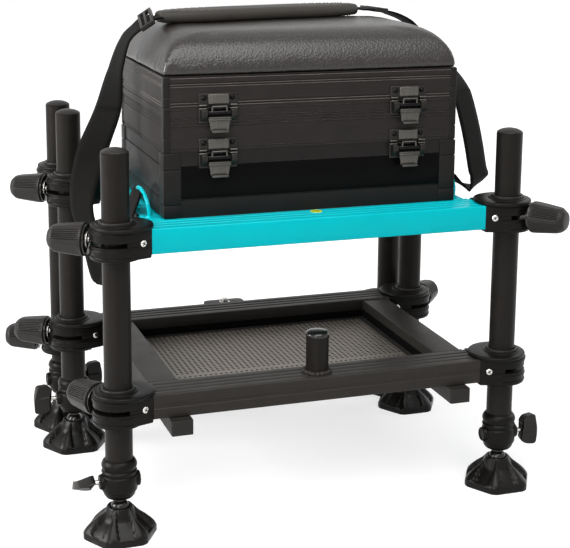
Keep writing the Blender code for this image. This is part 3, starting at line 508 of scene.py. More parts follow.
def ease(bm, reach, segments=2, over=40):
    """Rounds the edges of a shape that fold by more than an angle."""
    edges = [e for e in bm.edges if len(e.link_faces) == 2 and e.calc_face_angle() > math.radians(over)]
    bmesh.ops.bevel(bm, geom=edges, offset=reach, segments=segments, profile=0.5, affect='EDGES',
                    material=-1, clamp_overlap=True)
    return bm


def block(low, high, edge=0.0, segments=2):
    """A block between two corners with rounded edges."""
    low, high = Vector(low), Vector(high)
    bm = bmesh.new()
    bmesh.ops.create_cube(bm, size=1.0)
    bmesh.ops.scale(bm, vec=high - low, verts=bm.verts)
    bmesh.ops.translate(bm, vec=(low + high) / 2, verts=bm.verts)
    return ease(bm, edge, segments) if edge else bm


def raised(bm, faces, rise):
    """Extrudes faces straight up and returns the lifted ones."""
    lifted = bmesh.ops.extrude_face_region(bm, geom=faces)["geom"]
    verts = [g for g in lifted if isinstance(g, bmesh.types.BMVert)]
    bmesh.ops.translate(bm, vec=(0, 0, rise), verts=verts)
    return [g for g in lifted if isinstance(g, bmesh.types.BMFace)]


def slab(points, low, high, edge=0.0, segments=2, over=40):
    """A flat outline filled between two heights, with rounded edges."""
    bm = bmesh.new()
    face = bm.faces.new([bm.verts.new((x, y, low)) for x, y in points])
    raised(bm, [face], high - low)
    bmesh.ops.recalc_face_normals(bm, faces=bm.faces)
    return ease(bm, edge, segments, over) if edge else bm


def ring_slab(outer, inner, low, high, edge=0.0, segments=2):
    """A flat outline with a hole, filled between two heights."""
    bm = bmesh.new()
    edges = []
    for points in (outer, inner):
        verts = [bm.verts.new((x, y, low)) for x, y in points]
        edges += [bm.edges.new(pair) for pair in zip(verts, verts[1:] + verts[:1])]
    raised(bm, bmesh.ops.bridge_loops(bm, edges=edges)["faces"], high - low)
    bmesh.ops.recalc_face_normals(bm, faces=bm.faces)
    return ease(bm, edge, segments) if edge else bm


def evaluated(holder):
    """A new mesh of an object, as its curve or its modifiers give it."""
    return bpy.data.meshes.new_from_object(holder.evaluated_get(bpy.context.evaluated_depsgraph_get()))


def rod(points, radius, ripple=0.0, closed=False):
    """A bent round bar through the points, rippled along its length like a weld if asked."""
    curve = bpy.data.curves.new("rod", 'CURVE')
    curve.dimensions = '3D'
    curve.bevel_depth = radius
    curve.bevel_resolution = 3
    curve.use_fill_caps = True
    spline = curve.splines.new('POLY')
    spline.points.add(len(points) - 1)
    spline.use_cyclic_u = closed
    for i, (point, place) in enumerate(zip(spline.points, points)):
        point.co = (*place, 1.0)
        point.radius = 1 + ripple * math.sin(i * 2.1)
    holder = bpy.data.objects.new("rod", curve)
    bpy.context.scene.collection.objects.link(holder)
    bpy.context.view_layer.update()
    mesh = evaluated(holder)
    bpy.data.objects.remove(holder)
    bpy.data.curves.remove(curve)
    bm = bmesh.new()
    bm.from_mesh(mesh)
    bpy.data.meshes.remove(mesh)
    bmesh.ops.remove_doubles(bm, verts=bm.verts, dist=1e-6)
    bmesh.ops.recalc_face_normals(bm, faces=bm.faces)
    return bm


def round_steps(count):
    """Angles that share a full turn out evenly."""
    return [i * 2 * math.pi / count for i in range(count)]


def circle(radius, x=0.0, y=0.0, count=64):
    """Points of a circle in the plane."""
    return [(x + radius * math.cos(a), y + radius * math.sin(a)) for a in round_steps(count)]


def oblong(x0, y0, x1, y1, *turn):
    """The corners of an oblong, each with its rounding if one is given."""
    return [(x0, y0, *turn), (x1, y0, *turn), (x1, y1, *turn), (x0, y1, *turn)]


def peg(radius, half, edge, steps):
    """A round pin along Z with its middle at the origin and rounded ends."""
    return lathe(eased([(0, half), (radius, half, edge), (radius, -half, edge), (0, -half)]), steps)


def hull(points):
    """The convex outline round a set of flat points."""
    points = sorted(set(points))
    chains = []
    for run in (points, points[::-1]):
        chain = []
        for x, y in run:
            while len(chain) > 1:
                (ax, ay), (bx, by) = chain[-2:]
                if (bx - ax) * (y - ay) - (by - ay) * (x - ax) > 1e-9:
                    break
                chain.pop()
            chain.append((x, y))
        chains += chain[:-1]
    return chains


def facing(place, way):
    """Stands a shape made along +Z at a place, pointing a way."""
    return Matrix.Translation(place) @ Vector(way).to_track_quat('Z', 'Y').to_matrix().to_4x4()


def smooth(value):
    """A soft step from 0 to 1."""
    value = min(max(value, 0.0), 1.0)
    return value * value * (3 - 2 * value)


# Sections drawn in the plane and extruded: along X as (y, z), along Y as (x, z)
ALONG_X = Matrix(((0, 0, 1, 0), (1, 0, 0, 0), (0, 1, 0, 0), (0, 0, 0, 1)))
ALONG_Y = Matrix(((1, 0, 0, 0), (0, 0, -1, 0), (0, 1, 0, 0), (0, 0, 0, 1)))


# Profiles of (radius, height): a leg's cap above its tube, and its screw collar below the collar's top
CAP = ((0, CAP_H), (0.006, 0.0051), (0.0112, 0.0039), (0.0150, 0.0022), (0.0170, 0.0008), (0.0177, 0.0),
       (0.0177, -0.0004), (0.0168, -0.0009), (0, -0.0009))
COLLAR = ((0.0182, 0.0), (0.0198, -0.0008), (0.0218, -0.0034), (0.0231, -0.0062), (0.0234, -0.0088),
          (0.0229, -0.0108), (0.0216, -0.0116), (0.0214, -0.0142), (0.0226, -0.0152), (0.0233, -0.0168),
          (0.0229, -0.0190), (0.0216, -0.0198), (0.0216, -0.0216), (0.0228, -0.0226), (0.0235, -0.0246),
          (0.0235, -0.0412), (0.0231, -0.0428), (0.0217, -0.0440), (0.0213, -0.0454), (0.0203, -0.0488),
          (0.0180, -0.0520), (0.0140, -0.0541), (0.0095, -COLLAR_H), (STEM_BORE_R, -COLLAR_H),
          (STEM_BORE_R, -0.0100), (0.0182, -0.0040))
# The collar's boss for the wing screw and the recessed one across from it, with their roundings
BOSS = ((0, 0.0270), (0.0092, 0.0270, 0.0014), (0.0106, 0.0225), (0.0112, 0.0120), (0, 0.0120))
RECESS = ((0, 0.0258), (0.0066, 0.0258, 0.0006), (0.0074, 0.0269, 0.0005), (0.0096, 0.0269, 0.0012),
          (0.0106, 0.0225), (0.0112, 0.0120), (0, 0.0120))


class SEATBOX_OT_legs(Operator):
    """Leg tubes with their caps and screw collars"""
    bl_idname = "seatbox.legs"
    bl_label = "Legs"

    def execute(self, context):
        for name in LEGS:
            leg = "leg_" + name
            low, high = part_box(leg)
            axis = axis_of(leg)
            top, collar = high.z - CAP_H, low.z + COLLAR_H
            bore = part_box("foot_stem_" + name)[1].z + STEM_ROOM
            bm = bmesh.new()
            joined(bm, lathe([(0, top - 0.001), (LEG_R - 0.0004, top - 0.001), (LEG_R, top - 0.0014),
                              (LEG_R, collar - 0.003), (STEM_BORE_R, collar - 0.003), (STEM_BORE_R, bore),
                              (0, bore)], 64))
            joined(bm, lathe([(r, top + z) for r, z in CAP], 64), 1)
            joined(bm, lathe([(r, collar + z) for r, z in COLLAR], 64, closed=True), 2)
            out = 1 if axis_of("thumb_screw_" + name).x > axis.x else -1
            for boss, way in ((BOSS, out), (RECESS, -out)):
                place = facing((0, 0, collar - SCREW_DROP), (way, 0, 0))
                joined(bm, lathe(eased(boss), 40), 2, place)
            bmesh.ops.translate(bm, vec=axis, verts=bm.verts)
            piece("leg_tube_" + name, bm, ("anodised_leg", "moulding", "cast_metal"), leg, "anodised", leg)
        return {'FINISHED'}


class SEATBOX_OT_feet(Operator):
    """Ball stems and the ribbed spreading feet on them"""
    bl_idname = "seatbox.feet"
    bl_label = "Feet"

    def execute(self, context):
        for name in LEGS:
            stem, foot = "foot_stem_" + name, "mud_foot_" + name
            low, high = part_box(stem)
            ball = low.z + BALL_R
            neck = math.asin(STEM_R / BALL_R)
            arc = [(BALL_R * math.sin(a), ball + BALL_R * math.cos(a))
                   for a in [neck + (math.pi - neck) * i / 16 for i in range(17)]]
            bm = bmesh.new()
            joined(bm, lathe([(0, high.z), (STEM_R - 0.0006, high.z), (STEM_R, high.z - 0.0006),
                              (STEM_R, ball + 0.0104)] + arc[1:-1] + [(0, ball - BALL_R)], 40))
            bmesh.ops.translate(bm, vec=axis_of(stem), verts=bm.verts)
            piece("ball_stem_" + name, bm, ("gloss_moulding",), stem, "plastic", stem)
            bm = self.spreading_foot(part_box(foot))
            bmesh.ops.translate(bm, vec=axis_of(foot), verts=bm.verts)
            piece("spread_foot_" + name, bm, ("foot_rubber",), foot, "rubber", foot)
        return {'FINISHED'}

    def spreading_foot(self, box):
        """A low cone with a socket on top: roofed webs to its corners, dished panels between them."""
        hub, blunt, dish, ridge, least = 0.0176, 0.96, 0.0068, 0.0014, 0.0050
        reach = (box[1].x - box[0].x) / 2 / blunt
        bm = lathe([(0, 0.0246), (0.0067, 0.0264), (0.0110, 0.0304), (0.0130, 0.0348), (0.0134, 0.0382),
                    (0.0133, 0.0398), (0.0140, 0.0408), (0.0152, 0.0412), (0.0164, 0.0409), (0.0171, 0.0399),
                    (0.0178, 0.0385), (0.0190, 0.0370), (0.0205, 0.0352), (0.0222, 0.0333), (0.0240, 0.0314),
                    (0.0260, 0.0296), (0.0282, 0.0280), (0.0306, 0.0263), (0.0332, 0.0244), (0.0358, 0.0224),
                    (0.0384, 0.0203), (0.0408, 0.0183), (0.0430, 0.0164), (0.0450, 0.0145), (0.0468, 0.0127),
                    (0.0484, 0.0110), (0.0497, 0.0095), (reach, 0.0080), (reach, 0.0010),
                    (reach - 0.0010, 0.0), (0.030, 0.0), (0, 0.0)], 144)
        for vert in bm.verts:
            far = math.hypot(vert.co.x, vert.co.y)
            if far < hub:
                continue
            off_flat = math.atan2(vert.co.y, vert.co.x) % (math.pi / 3) - math.pi / 6
            from_corner = math.pi / 6 - abs(off_flat)
            out = min((far - hub) / (reach - hub), 1.0)
            if vert.co.z > 0.002:
                web = math.radians(3.5 + 12.0 * out)
                panel = smooth((from_corner - web) / math.radians(4.5))
                hollow = smooth((out - 0.01) / 0.16) * smooth((0.97 - out) / 0.15)
                roof = max(1 - from_corner / web, 0.0)
                vert.co.z += ridge * roof * smooth((1.0 - out) / 0.1) - dish * panel * hollow
                vert.co.z = max(vert.co.z, least)
            flat = min(blunt, math.cos(math.pi / 6) / math.cos(off_flat)) - 1
            vert.co.xy *= 1 + flat * (far / reach) ** 2
        return bm


class SEATBOX_OT_wing_screws(Operator):
    """Wing screws that lock the feet's stems"""
    bl_idname = "seatbox.wing_screws"
    bl_label = "Wing screws"

    def execute(self, context):
        outward = facing((0, 0, 0), (1, 0, 0))
        leaf = eased([(0.0105, -0.0050, 0.002), (0.0105, 0.0050, 0.002), (0.0062, 0.0125, 0.004),
                      (0.0100, 0.0215, 0.007), (0.0290, 0.0215, 0.004), (0.0325, 0.0050, 0.004),
                      (0.0330, -0.0050, 0.004), (0.0315, -0.0215, 0.005), (0.0140, -0.0215, 0.008),
                      (0.0062, -0.0125, 0.005)], 5)
        leaf_half, leaf_middle, twist = 0.0052, 0.0205, math.radians(14)
        for name in LEGS:
            screw = "thumb_screw_" + name
            joint = JOINTS[screw + "_turn"]
            low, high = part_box(screw)
            lying = math.radians(60) if high.y - low.y > 0.02 else 0.0
            bm = bmesh.new()
            shank = lathe(eased([(0, 0.012), (0.0031, 0.012), (0.0031, 0.0), (0, 0.0)]), 24)
            joined(bm, shank, 1, outward)
            hub = lathe(eased([(0, 0.0300), (0.0044, 0.0290, 0.0010), (0.0058, 0.0140),
                               (0.0062, 0.0095, 0.0010), (0, 0.0090)]), 32)
            joined(bm, hub, 0, outward)
            paddle = slab(leaf, -leaf_half, leaf_half, 0.0022, 3)
            long_edges = [e for e in paddle.edges if e.calc_length() > 0.008]
            bmesh.ops.subdivide_edges(paddle, edges=long_edges, cuts=3)
            for vert in paddle.verts:
                x, along, lift = vert.co
                turn = twist * along / 0.02
                vert.co = (leaf_middle + (x - leaf_middle) * math.cos(turn) - lift * math.sin(turn),
                           (x - leaf_middle) * math.sin(turn) + lift * math.cos(turn), along)
            joined(bm, paddle)
            side = Matrix.Rotation(0 if joint["axis"][0] > 0 else math.pi, 4, 'Z')
            place = Matrix.Translation(joint["pos_m"]) @ Matrix.Rotation(lying, 4, 'X') @ side
            bmesh.ops.transform(bm, matrix=place, verts=bm.verts)
            piece("wing_screw_" + name, bm, ("moulding", "steel"), screw, "plastic", screw)
        return {'FINISHED'}


class SEATBOX_OT_knobs(Operator):
    """Tapered clamp knobs with groups of fine grooves"""
    bl_idname = "seatbox.knobs"
    bl_label = "Clamp knobs"

    def execute(self, context):
        groups = context.scene.seat_box_sizes.knob_groups
        per_group, groove = 24, 0.0011
        names = ["seat_knob_" + n for n in ("front_left", "front_right", "rear_left", "rear_right")]
        names += ["foot_knob_" + n for n in ("front_left", "front_right", "mid_left", "mid_right")]
        names += ["carrier_knob_left", "carrier_knob_right"]
        for name in names:
            joint = JOINTS[name + "_turn"]
            bm = bmesh.new()
            grip = lathe([(0, 0.0545), (0.0085, 0.0544), (0.0118, 0.0538), (0.0132, 0.0525), (0.0160, 0.0490),
                          (0.0176, 0.0466), (0.0183, 0.0445), (0.0189, 0.0405), (0.0195, 0.0350),
                          (0.0202, 0.0290), (0.0209, 0.0230), (0.0216, 0.0165), (0.0221, 0.0110),
                          (0.0222, 0.0085), (0.0218, 0.0064), (0.0204, 0.0056), (0.0170, 0.0054),
                          (0, 0.0054)], groups * per_group)
            for vert in grip.verts:
                radius = math.hypot(vert.co.x, vert.co.y)
                if not 0.0062 < vert.co.z < 0.0500 or radius < 0.014:
                    continue
                count = round(math.atan2(vert.co.y, vert.co.x) / (2 * math.pi) * groups * per_group)
                side, step = divmod(count, per_group)
                fade = smooth((vert.co.z - 0.0062) / 0.004) * smooth((0.0490 - vert.co.z) / 0.005)
                off_flat = (step - per_group / 2) / per_group * 2 * math.pi / groups
                vert.co.xy *= 1 - (1 - min(0.925 / math.cos(off_flat), 1.0)) * fade
                if side % 2 == 0 and step in range(4, 20, 3):
                    vert.co.xy *= 1 - groove * fade / radius
            joined(bm, grip)
            collar = lathe(eased([(0, 0.0056), (0.0196, 0.0056, 0.0008), (0.0200, 0.0026, 0.0008),
                                  (0, 0.0026)]), 64)
            washer = lathe(eased([(0, 0.0027), (0.0118, 0.0027, 0.0004), (0.0118, 0.0011, 0.0004),
                                  (0, 0.0011)]), 48)
            shank = lathe([(0, 0.002), (0.0045, 0.002), (0.0045, 0.0), (0, 0.0)], 24)
            for shape, look in ((collar, 1), (washer, 2), (shank, 2)):
                joined(bm, shape, look)
            bmesh.ops.transform(bm, matrix=facing(joint["pos_m"], joint["axis"]), verts=bm.verts)
            piece("grip_" + name, bm, ("moulding", "gloss_moulding", "steel"), name, "plastic", name, fold=28)
        return {'FINISHED'}


class SEATBOX_OT_clamps(Operator):
    """Cast leg clamps with their flanges, split rings and rail sockets"""
    bl_idname = "seatbox.clamps"
    bl_label = "Leg clamps"

    def execute(self, context):
        spots = [("seat_clamp_front", 0.0, SEAT_TOP, [0.0], "seat"),
                 ("seat_clamp_rear", MID_Y, SEAT_TOP, [0.0, REAR_Y - MID_Y], "seat"),
                 ("foot_clamp_front", 0.0, FOOT_TOP, [0.0], "footplate"),
                 ("foot_clamp_mid", MID_Y, FOOT_TOP, [0.0], "footplate"),
                 ("carrier_clamp", REAR_Y, CARRIER_TOP, [0.0], "footplate")]
        for kind, y, top, bores, body in spots:
            for side, sign in SIDES:
                bm = bmesh.new()
                self.casting(bm, bores)
                place = Matrix.Translation((sign * LEG_X, y, top)) @ Matrix.Diagonal((sign, 1, 1, 1))
                bmesh.ops.transform(bm, matrix=place, verts=bm.verts)
                if sign < 0:
                    bmesh.ops.reverse_faces(bm, faces=bm.faces)
                clamp = kind + "_" + side
                looks = ("cast_metal", "steel", "dark_steel", "moulding")
                piece("cast_" + clamp, bm, looks, body, "casting", clamp)
        return {'FINISHED'}

    def casting(self, bm, bores):
        """A right-hand clamp, its first bore on Z and the rail's top at height 0, the rail towards -X."""
        bore = LEG_R + 0.0004
        mouth_x = RAIL_END + TOUCH - LEG_X
        front, back = (mouth_x, RAIL_FRONT), (mouth_x, RAIL_BACK)
        neck_x = -0.024
        for i, y in enumerate(bores):
            hole = circle(bore, 0, y)
            rise = Matrix.Translation((0, y, 0))
            joined(bm, ring_slab(circle(0.0400, -0.008, y, 72), hole, 0.0003, 0.0058, 0.0020, 3))
            joined(bm, lathe(eased([(0.0275, 0.0052), (0.0262, 0.0066, 0.0008), (0.0232, 0.0072),
                                    (0.0230, 0.0046), (0.0272, 0.0046)]), 64, closed=True), 0, rise)
            joined(bm, lathe(eased([(0.0222, 0.0050), (0.0222, 0.0102, 0.0012), (0.0202, 0.0104, 0.0006),
                                    (bore, 0.0092), (bore, 0.0050)]), 64, closed=True), 3, rise)
            throat = [front, back] if i == 0 else [(neck_x, y - 0.03), (neck_x, y + 0.02)]
            bulk = hull(circle(0.0330, 0, y, 72) + throat)
            lip = hull(circle(0.0343, 0, y, 72) + throat)
            # The bands of the body, from the top down: outline, bottom, top, rounding and its steps
            for outline, low, high, edge, steps in (
                    (bulk, -0.0133, 0.0012, 0.0016, 3), (lip, -0.0052, -0.0016, 0.0012, 2),
                    (bulk, -RAIL_H + 0.0003, -0.0197, 0.0016, 3),
                    (circle(0.0340, 0, y, 72), -0.0262, -0.0230, 0.0012, 2),
                    (circle(0.0330, 0, y, 72), -0.0380, -0.0300, 0.0018, 3),
                    (circle(0.0338, 0, y, 72), -0.0352, -0.0322, 0.0012, 2)):
                joined(bm, ring_slab(outline, hole, low, high, edge, steps))
            if i == 0:
                wedge = [front, (-0.0085, -0.0312), (-0.0085, -0.0190), (-0.0200, 0.0), (-0.0085, 0.0190),
                         (-0.0085, 0.0312), back]
                joined(bm, slab(wedge, -0.0200, -0.0130, 0.0006, 2))
                foot = [front, (-0.0120, -0.0300), (-0.0210, 0.0), (-0.0120, 0.0300), back]
                joined(bm, slab(foot, -0.0372, -0.0310, 0.0022, 3))
            else:
                joined(bm, slab(oblong(neck_x, y - 0.03, -0.0195, y + 0.02), -0.0200, -0.0130))
        if len(bores) > 1:
            joined(bm, block((-0.0235, 0.030, -0.0320), (0.0060, bores[-1] - 0.030, 0.0045), 0.002, 2))
        spot = facing((-0.0300, -0.0237, -0.0165), (-0.317, -0.948, 0))
        head = lathe(eased([(0, 0.0026), (0.0030, 0.0025), (0.0044, 0.0017, 0.0005), (0.0047, 0.0),
                            (0, 0.0)]), 32)
        joined(bm, head, 1, spot)
        for turn in (0.5, 0.5 + math.pi / 2):
            cross = block((-0.0028, -0.0006, 0.0016), (0.0028, 0.0006, 0.00272))
            joined(bm, cross, 2, spot @ Matrix.Rotation(turn, 4, 'Z'))


def rail_section(edge, groove_w, groove_d, band=0.0):
    """A cross rail's section as (y, z) about its leg line and top: grooved above, banded in front if asked."""
    width = RAIL_BACK - RAIL_FRONT
    points = [(RAIL_FRONT, 0.0, edge)]
    for share in (0.27, 0.50, 0.73):
        middle = RAIL_FRONT + width * share
        slope = groove_d * 0.6
        points += [(middle - groove_w / 2, 0.0, 0.0004), (middle - groove_w / 2 + slope, -groove_d, 0.0003),
                   (middle + groove_w / 2 - slope, -groove_d, 0.0003), (middle + groove_w / 2, 0.0, 0.0004)]
    points += [(RAIL_BACK, 0.0, edge), (RAIL_BACK, -RAIL_H, edge), (RAIL_FRONT, -RAIL_H, edge)]
    if band:
        points += [(RAIL_FRONT, -0.0195, 0.0004), (RAIL_FRONT + band, -0.0188, 0.0003),
                   (RAIL_FRONT + band, -0.0135, 0.0003), (RAIL_FRONT, -0.0128, 0.0004)]
    return eased(points)


def welded_rails(bm, top, band, sizes):
    """The oblong of two cross rails and two side rails, with the weld beads in its corners."""
    section = rail_section(sizes.rail_edge, sizes.groove_width, sizes.groove_depth, band)
    for y in (0.0, MID_Y):
        joined(bm, slab(section, -RAIL_END, RAIL_END), 0, Matrix.Translation((0, y, top)) @ ALONG_X)
    lap, set_down, edge, ripple = 0.004, 0.0015, 0.0016, 0.22
    y0, y1 = RAIL_BACK - lap, MID_Y + RAIL_FRONT + lap
    for sign in (-1, 1):
        x0, x1 = sorted((sign * SIDE_IN, sign * SIDE_OUT))
        side = eased(oblong(x0, -set_down, x1, 0.0005 - RAIL_H, edge))
        joined(bm, slab(side, -y1, -y0), 0, Matrix.Translation((0, 0, top)) @ ALONG_Y)
        for y in (RAIL_BACK + 0.0002, MID_Y + RAIL_FRONT - 0.0002):
            steps = 22
            bead = [(x0 + (x1 - x0) * i / steps, y + 0.0004 * noise.noise((i * 0.9, y * 90, sign)),
                     top - 0.0016) for i in range(steps + 1)]
            joined(bm, rod(bead, sizes.weld, ripple))
            for x in (x0, x1):
                bead = [(x, y, top - 0.002 - (RAIL_H - 0.004) * i / 16) for i in range(17)]
                joined(bm, rod(bead, sizes.weld * 0.8, ripple))


class SEATBOX_OT_seat_frame(Operator):
    """Welded turquoise seat frame with its strap loops, and the spirit level in it"""
    bl_idname = "seatbox.seat_frame"
    bl_label = "Seat frame"

    def execute(self, context):
        sizes = context.scene.seat_box_sizes
        bm = bmesh.new()
        welded_rails(bm, SEAT_TOP, 0.0, sizes)
        for sign in (-1, 1):
            bend = []
            for i in range(33):
                turn = math.pi * i / 32
                bend.append((sign * (LOOP_X + LOOP_LEAN * math.sin(turn)), LOOP_Y - LOOP_HALF * math.cos(turn),
                             SEAT_TOP - LOOP_ROOT + LOOP_RISE * math.sin(turn) ** 0.7))
            joined(bm, rod(bend, LOOP_R))
            for end in (-LOOP_HALF, LOOP_HALF):
                ring = [(x, y, SEAT_TOP - 0.0012) for x, y in circle(0.0034, sign * LOOP_X, LOOP_Y + end, 14)]
                joined(bm, rod(ring, 0.0014, 0.25, closed=True))
        piece("welded_seat_frame", bm, ("turquoise_paint",), "seat", "turquoise", "seat_frame")
        self.level()
        return {'FINISHED'}

    def level(self):
        """The spirit level: a domed vial in a thin bezel, with a ring drawn on it."""
        low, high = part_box("spirit_level")
        radius = (high.x - low.x) / 2
        bm = bmesh.new()
        joined(bm, lathe([(0, 0.0009), (radius * 0.4, 0.0008), (radius * 0.78, 0.0006), (radius * 0.80, 0.0002),
                          (radius * 0.80, -0.005), (0, -0.005)], 48))
        joined(bm, lathe(eased([(radius * 0.80, -0.004), (radius * 0.80, 0.0009, 0.0002),
                                (radius, 0.0007, 0.0003), (radius, -0.004)]), 48, closed=True))
        joined(bm, lathe(eased([(radius * 0.36, 0.0006), (radius * 0.36, 0.00098), (radius * 0.42, 0.00098),
                                (radius * 0.42, 0.0006)]), 40, closed=True), 1)
        bmesh.ops.translate(bm, vec=axis_of("spirit_level") + Vector((0, 0, SEAT_TOP)), verts=bm.verts)
        piece("bubble_level", bm, ("level_fluid", "gloss_moulding"), "seat", "vial", "spirit_level")


class SEATBOX_OT_footplate(Operator):
    """Welded footplate frame with its stub post and hitch plate, and the rear slide carrier"""
    bl_idname = "seatbox.footplate"
    bl_label = "Footplate"

    def execute(self, context):
        sizes = context.scene.seat_box_sizes
        self.plate_frame(sizes)
        self.carrier(sizes)
        return {'FINISHED'}

    def plate_frame(self, sizes):
        """The footplate's rails with the ledge for the pan, the stub post and the hitch plate."""
        bm = bmesh.new()
        welded_rails(bm, FOOT_TOP, RAIL_BAND, sizes)
        ledge_low = FOOT_TOP - RAIL_H + 0.001
        y0, y1 = RAIL_BACK, MID_Y + RAIL_FRONT
        lap, lip, ledge_t = 0.003, 0.006, 0.0016
        inner = oblong(-SIDE_IN + lip, y0 + lip, SIDE_IN - lip, y1 - lip)
        outer = oblong(-SIDE_IN - lap, y0 - lap, SIDE_IN + lap, y1 + lap)
        joined(bm, ring_slab(outer, inner, ledge_low, ledge_low + ledge_t))
        stub_y, stub_r = (RAIL_FRONT + RAIL_BACK) / 2, 0.0155
        stub = Matrix.Translation((0, stub_y, FOOT_TOP))
        joined(bm, lathe([(0, 0.0515), (stub_r - 0.0002, 0.0515), (stub_r, 0.0512), (stub_r, -0.004),
                          (0, -0.004)], 64), 1, stub)
        cap = lathe(eased([(0, 0.0590), (0.0085, 0.0586), (0.0140, 0.0572, 0.002), (0.0165, 0.0545, 0.0016),
                           (0.0165, 0.0510, 0.0006), (0.0150, 0.0508), (0, 0.0508)]), 64)
        joined(bm, cap, 2, stub)
        bead_r = 0.0170
        ring = [(bead_r * math.cos(a), stub_y + bead_r * math.sin(a),
                 FOOT_TOP + 0.0012 + 0.0006 * noise.noise((3 * a, 0, 0))) for a in round_steps(56)]
        joined(bm, rod(ring, 0.0034, 0.22, closed=True))
        self.hitch(bm)
        piece("welded_footplate", bm, ("anodised_rail", "anodised_leg", "gloss_moulding", "steel"), "footplate",
              "anodised", "footplate_frame")

    def carrier(self, sizes):
        """The rear cross rail with its two capped slide bars."""
        bm = bmesh.new()
        section = rail_section(sizes.rail_edge, sizes.groove_width, sizes.groove_depth, RAIL_BAND)
        place = Matrix.Translation((0, REAR_Y, CARRIER_TOP)) @ ALONG_X
        joined(bm, slab(section, -RAIL_END, RAIL_END), 0, place)
        front, rail_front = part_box("slide_carrier")[0].y, REAR_Y + RAIL_FRONT
        plug, inset = 0.0032, 0.0003
        top, bottom = CARRIER_TOP - 0.0002, CARRIER_TOP - 0.0212
        for sign in (-1, 1):
            x0, x1 = sorted((sign * (SIDE_OUT - 0.016), sign * (SIDE_OUT - 0.045)))
            tube = eased(oblong(x0, top, x1, bottom, 0.0014))
            joined(bm, slab(tube, -(rail_front + 0.004), -(front + plug)), 0, ALONG_Y)
            end = block((x0 + inset, front, bottom + inset), (x1 - inset, front + plug, top - inset), 0.0009, 3)
            joined(bm, end, 1)
            for x in (x0, x1):
                bead = [(x, rail_front - 0.0002, top - 0.001 - 0.019 * i / 12) for i in range(13)]
                joined(bm, rod(bead, sizes.weld, 0.22))
        piece("slide_rail_carrier", bm, ("anodised_rail", "moulding"), "footplate", "anodised", "slide_carrier")

    def hitch(self, bm):
        """The small plate behind the rear rail, with its bolt and washer."""
        x, y, top = -0.022, MID_Y + RAIL_BACK, FOOT_TOP - 0.006
        half, reach, lap, turn = 0.032, 0.036, 0.003, 0.010
        plate = eased([(x - half, y - lap), (x + half, y - lap), (x + half, y + reach, turn),
                       (x - half, y + reach, turn)], 6)
        joined(bm, slab(plate, top - 0.005, top, 0.0008, 2, over=60))
        spot = Matrix.Translation((x, y + 0.0198, top))
        washer = lathe(eased([(0, 0.0012), (0.0085, 0.0012, 0.0004), (0.0085, -0.0002), (0, -0.0002)]), 40)
        bolt = lathe(eased([(0, 0.0064), (0.0050, 0.0062, 0.0006), (0.0066, 0.0048, 0.0006), (0.0068, 0.0010),
                            (0, 0.0010)]), 6)
        joined(bm, washer, 3, spot)
        joined(bm, bolt, 3, spot)


class SEATBOX_OT_pan(Operator):
    """Pierced pan of the footplate"""
    bl_idname = "seatbox.pan"
    bl_label = "Pierced pan"

    def execute(self, context):
        sizes = context.scene.seat_box_sizes
        low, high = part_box("footplate_pan")
        middle = (low + high) / 2
        border, sheet, wall = 0.010, 0.0014, 0.0015
        pitch, row, land = sizes.hole_pitch, sizes.hole_row, sizes.hole_land
        columns = int((high.x - low.x - 2 * border) / pitch)
        rows = int((high.y - low.y - 2 * border) / row)
        x0, y0 = middle.x - columns * pitch / 2, middle.y - rows * row / 2
        cell = [(-0.5, -0.5), (0.0, -0.5), (0.5, -0.5), (0.5, 0.0), (0.5, 0.5), (0.0, 0.5), (-0.5, 0.5),
                (-0.5, 0.0)]
        bm = bmesh.new()
        for j in range(rows):
            for i in range(columns):
                x, y = x0 + pitch * (i + 0.5), y0 + row * (j + 0.5)
                bm.faces.new([bm.verts.new((x + pitch * u, y + row * v, 0)) for u, v in cell])
        bmesh.ops.remove_doubles(bm, verts=bm.verts, dist=1e-5)
        # One row of cells is left whole, as a plain strip across the pan
        plain = y0 + row * (int(rows * 0.3) + 0.5)
        cells = [face for face in bm.faces if abs(face.calc_center_median().y - plain) > row / 2]
        bmesh.ops.inset_individual(bm, faces=cells, thickness=land)
        for face in cells:
            centre = face.calc_center_median()
            for vert in face.verts:
                vert.co = centre + (vert.co - centre).normalized() * (pitch / 2 - land)
        bmesh.ops.delete(bm, geom=cells, context='FACES')
        bmesh.ops.recalc_face_normals(bm, faces=bm.faces)
        bmesh.ops.solidify(bm, geom=bm.faces[:], thickness=sheet)
        bmesh.ops.recalc_face_normals(bm, faces=bm.faces)
        # Painted shade: the walls of the holes take the near-black lining finish.
        for face in bm.faces:
            face.material_index = 0 if abs(face.normal.z) > 0.5 else 2
        lowest = min(v.co.z for v in bm.verts)
        bmesh.ops.translate(bm, vec=(0, 0, low.z + 0.0016 - lowest), verts=bm.verts)
        reach_x, reach_y = columns * pitch / 2 - 0.0002, rows * row / 2 - 0.0002
        outer = oblong(low.x, low.y, high.x, high.y)
        inner = oblong(middle.x - reach_x, middle.y - reach_y, middle.x + reach_x, middle.y + reach_y)
        joined(bm, ring_slab(outer, inner, low.z, low.z + 0.0031), 1)
        room = oblong(low.x + wall, low.y + wall, high.x - wall, high.y - wall)
        joined(bm, ring_slab(outer, room, low.z + 0.0012, high.z, 0.0004, 2), 2)
        # Painted shade: a near-black sheet beneath the holes stands in for the shade seen through them.
        inset = wall + 0.0001
        shade_sheet = block((low.x + inset, low.y + inset, low.z), (high.x - inset, high.y - inset, low.z + 0.0004))
        joined(bm, shade_sheet, 2)
        piece("pierced_pan", bm, ("pan_metal", "anodised_rail", "case_lining"), "footplate", "anodised",
              "footplate_pan")
        return {'FINISHED'}


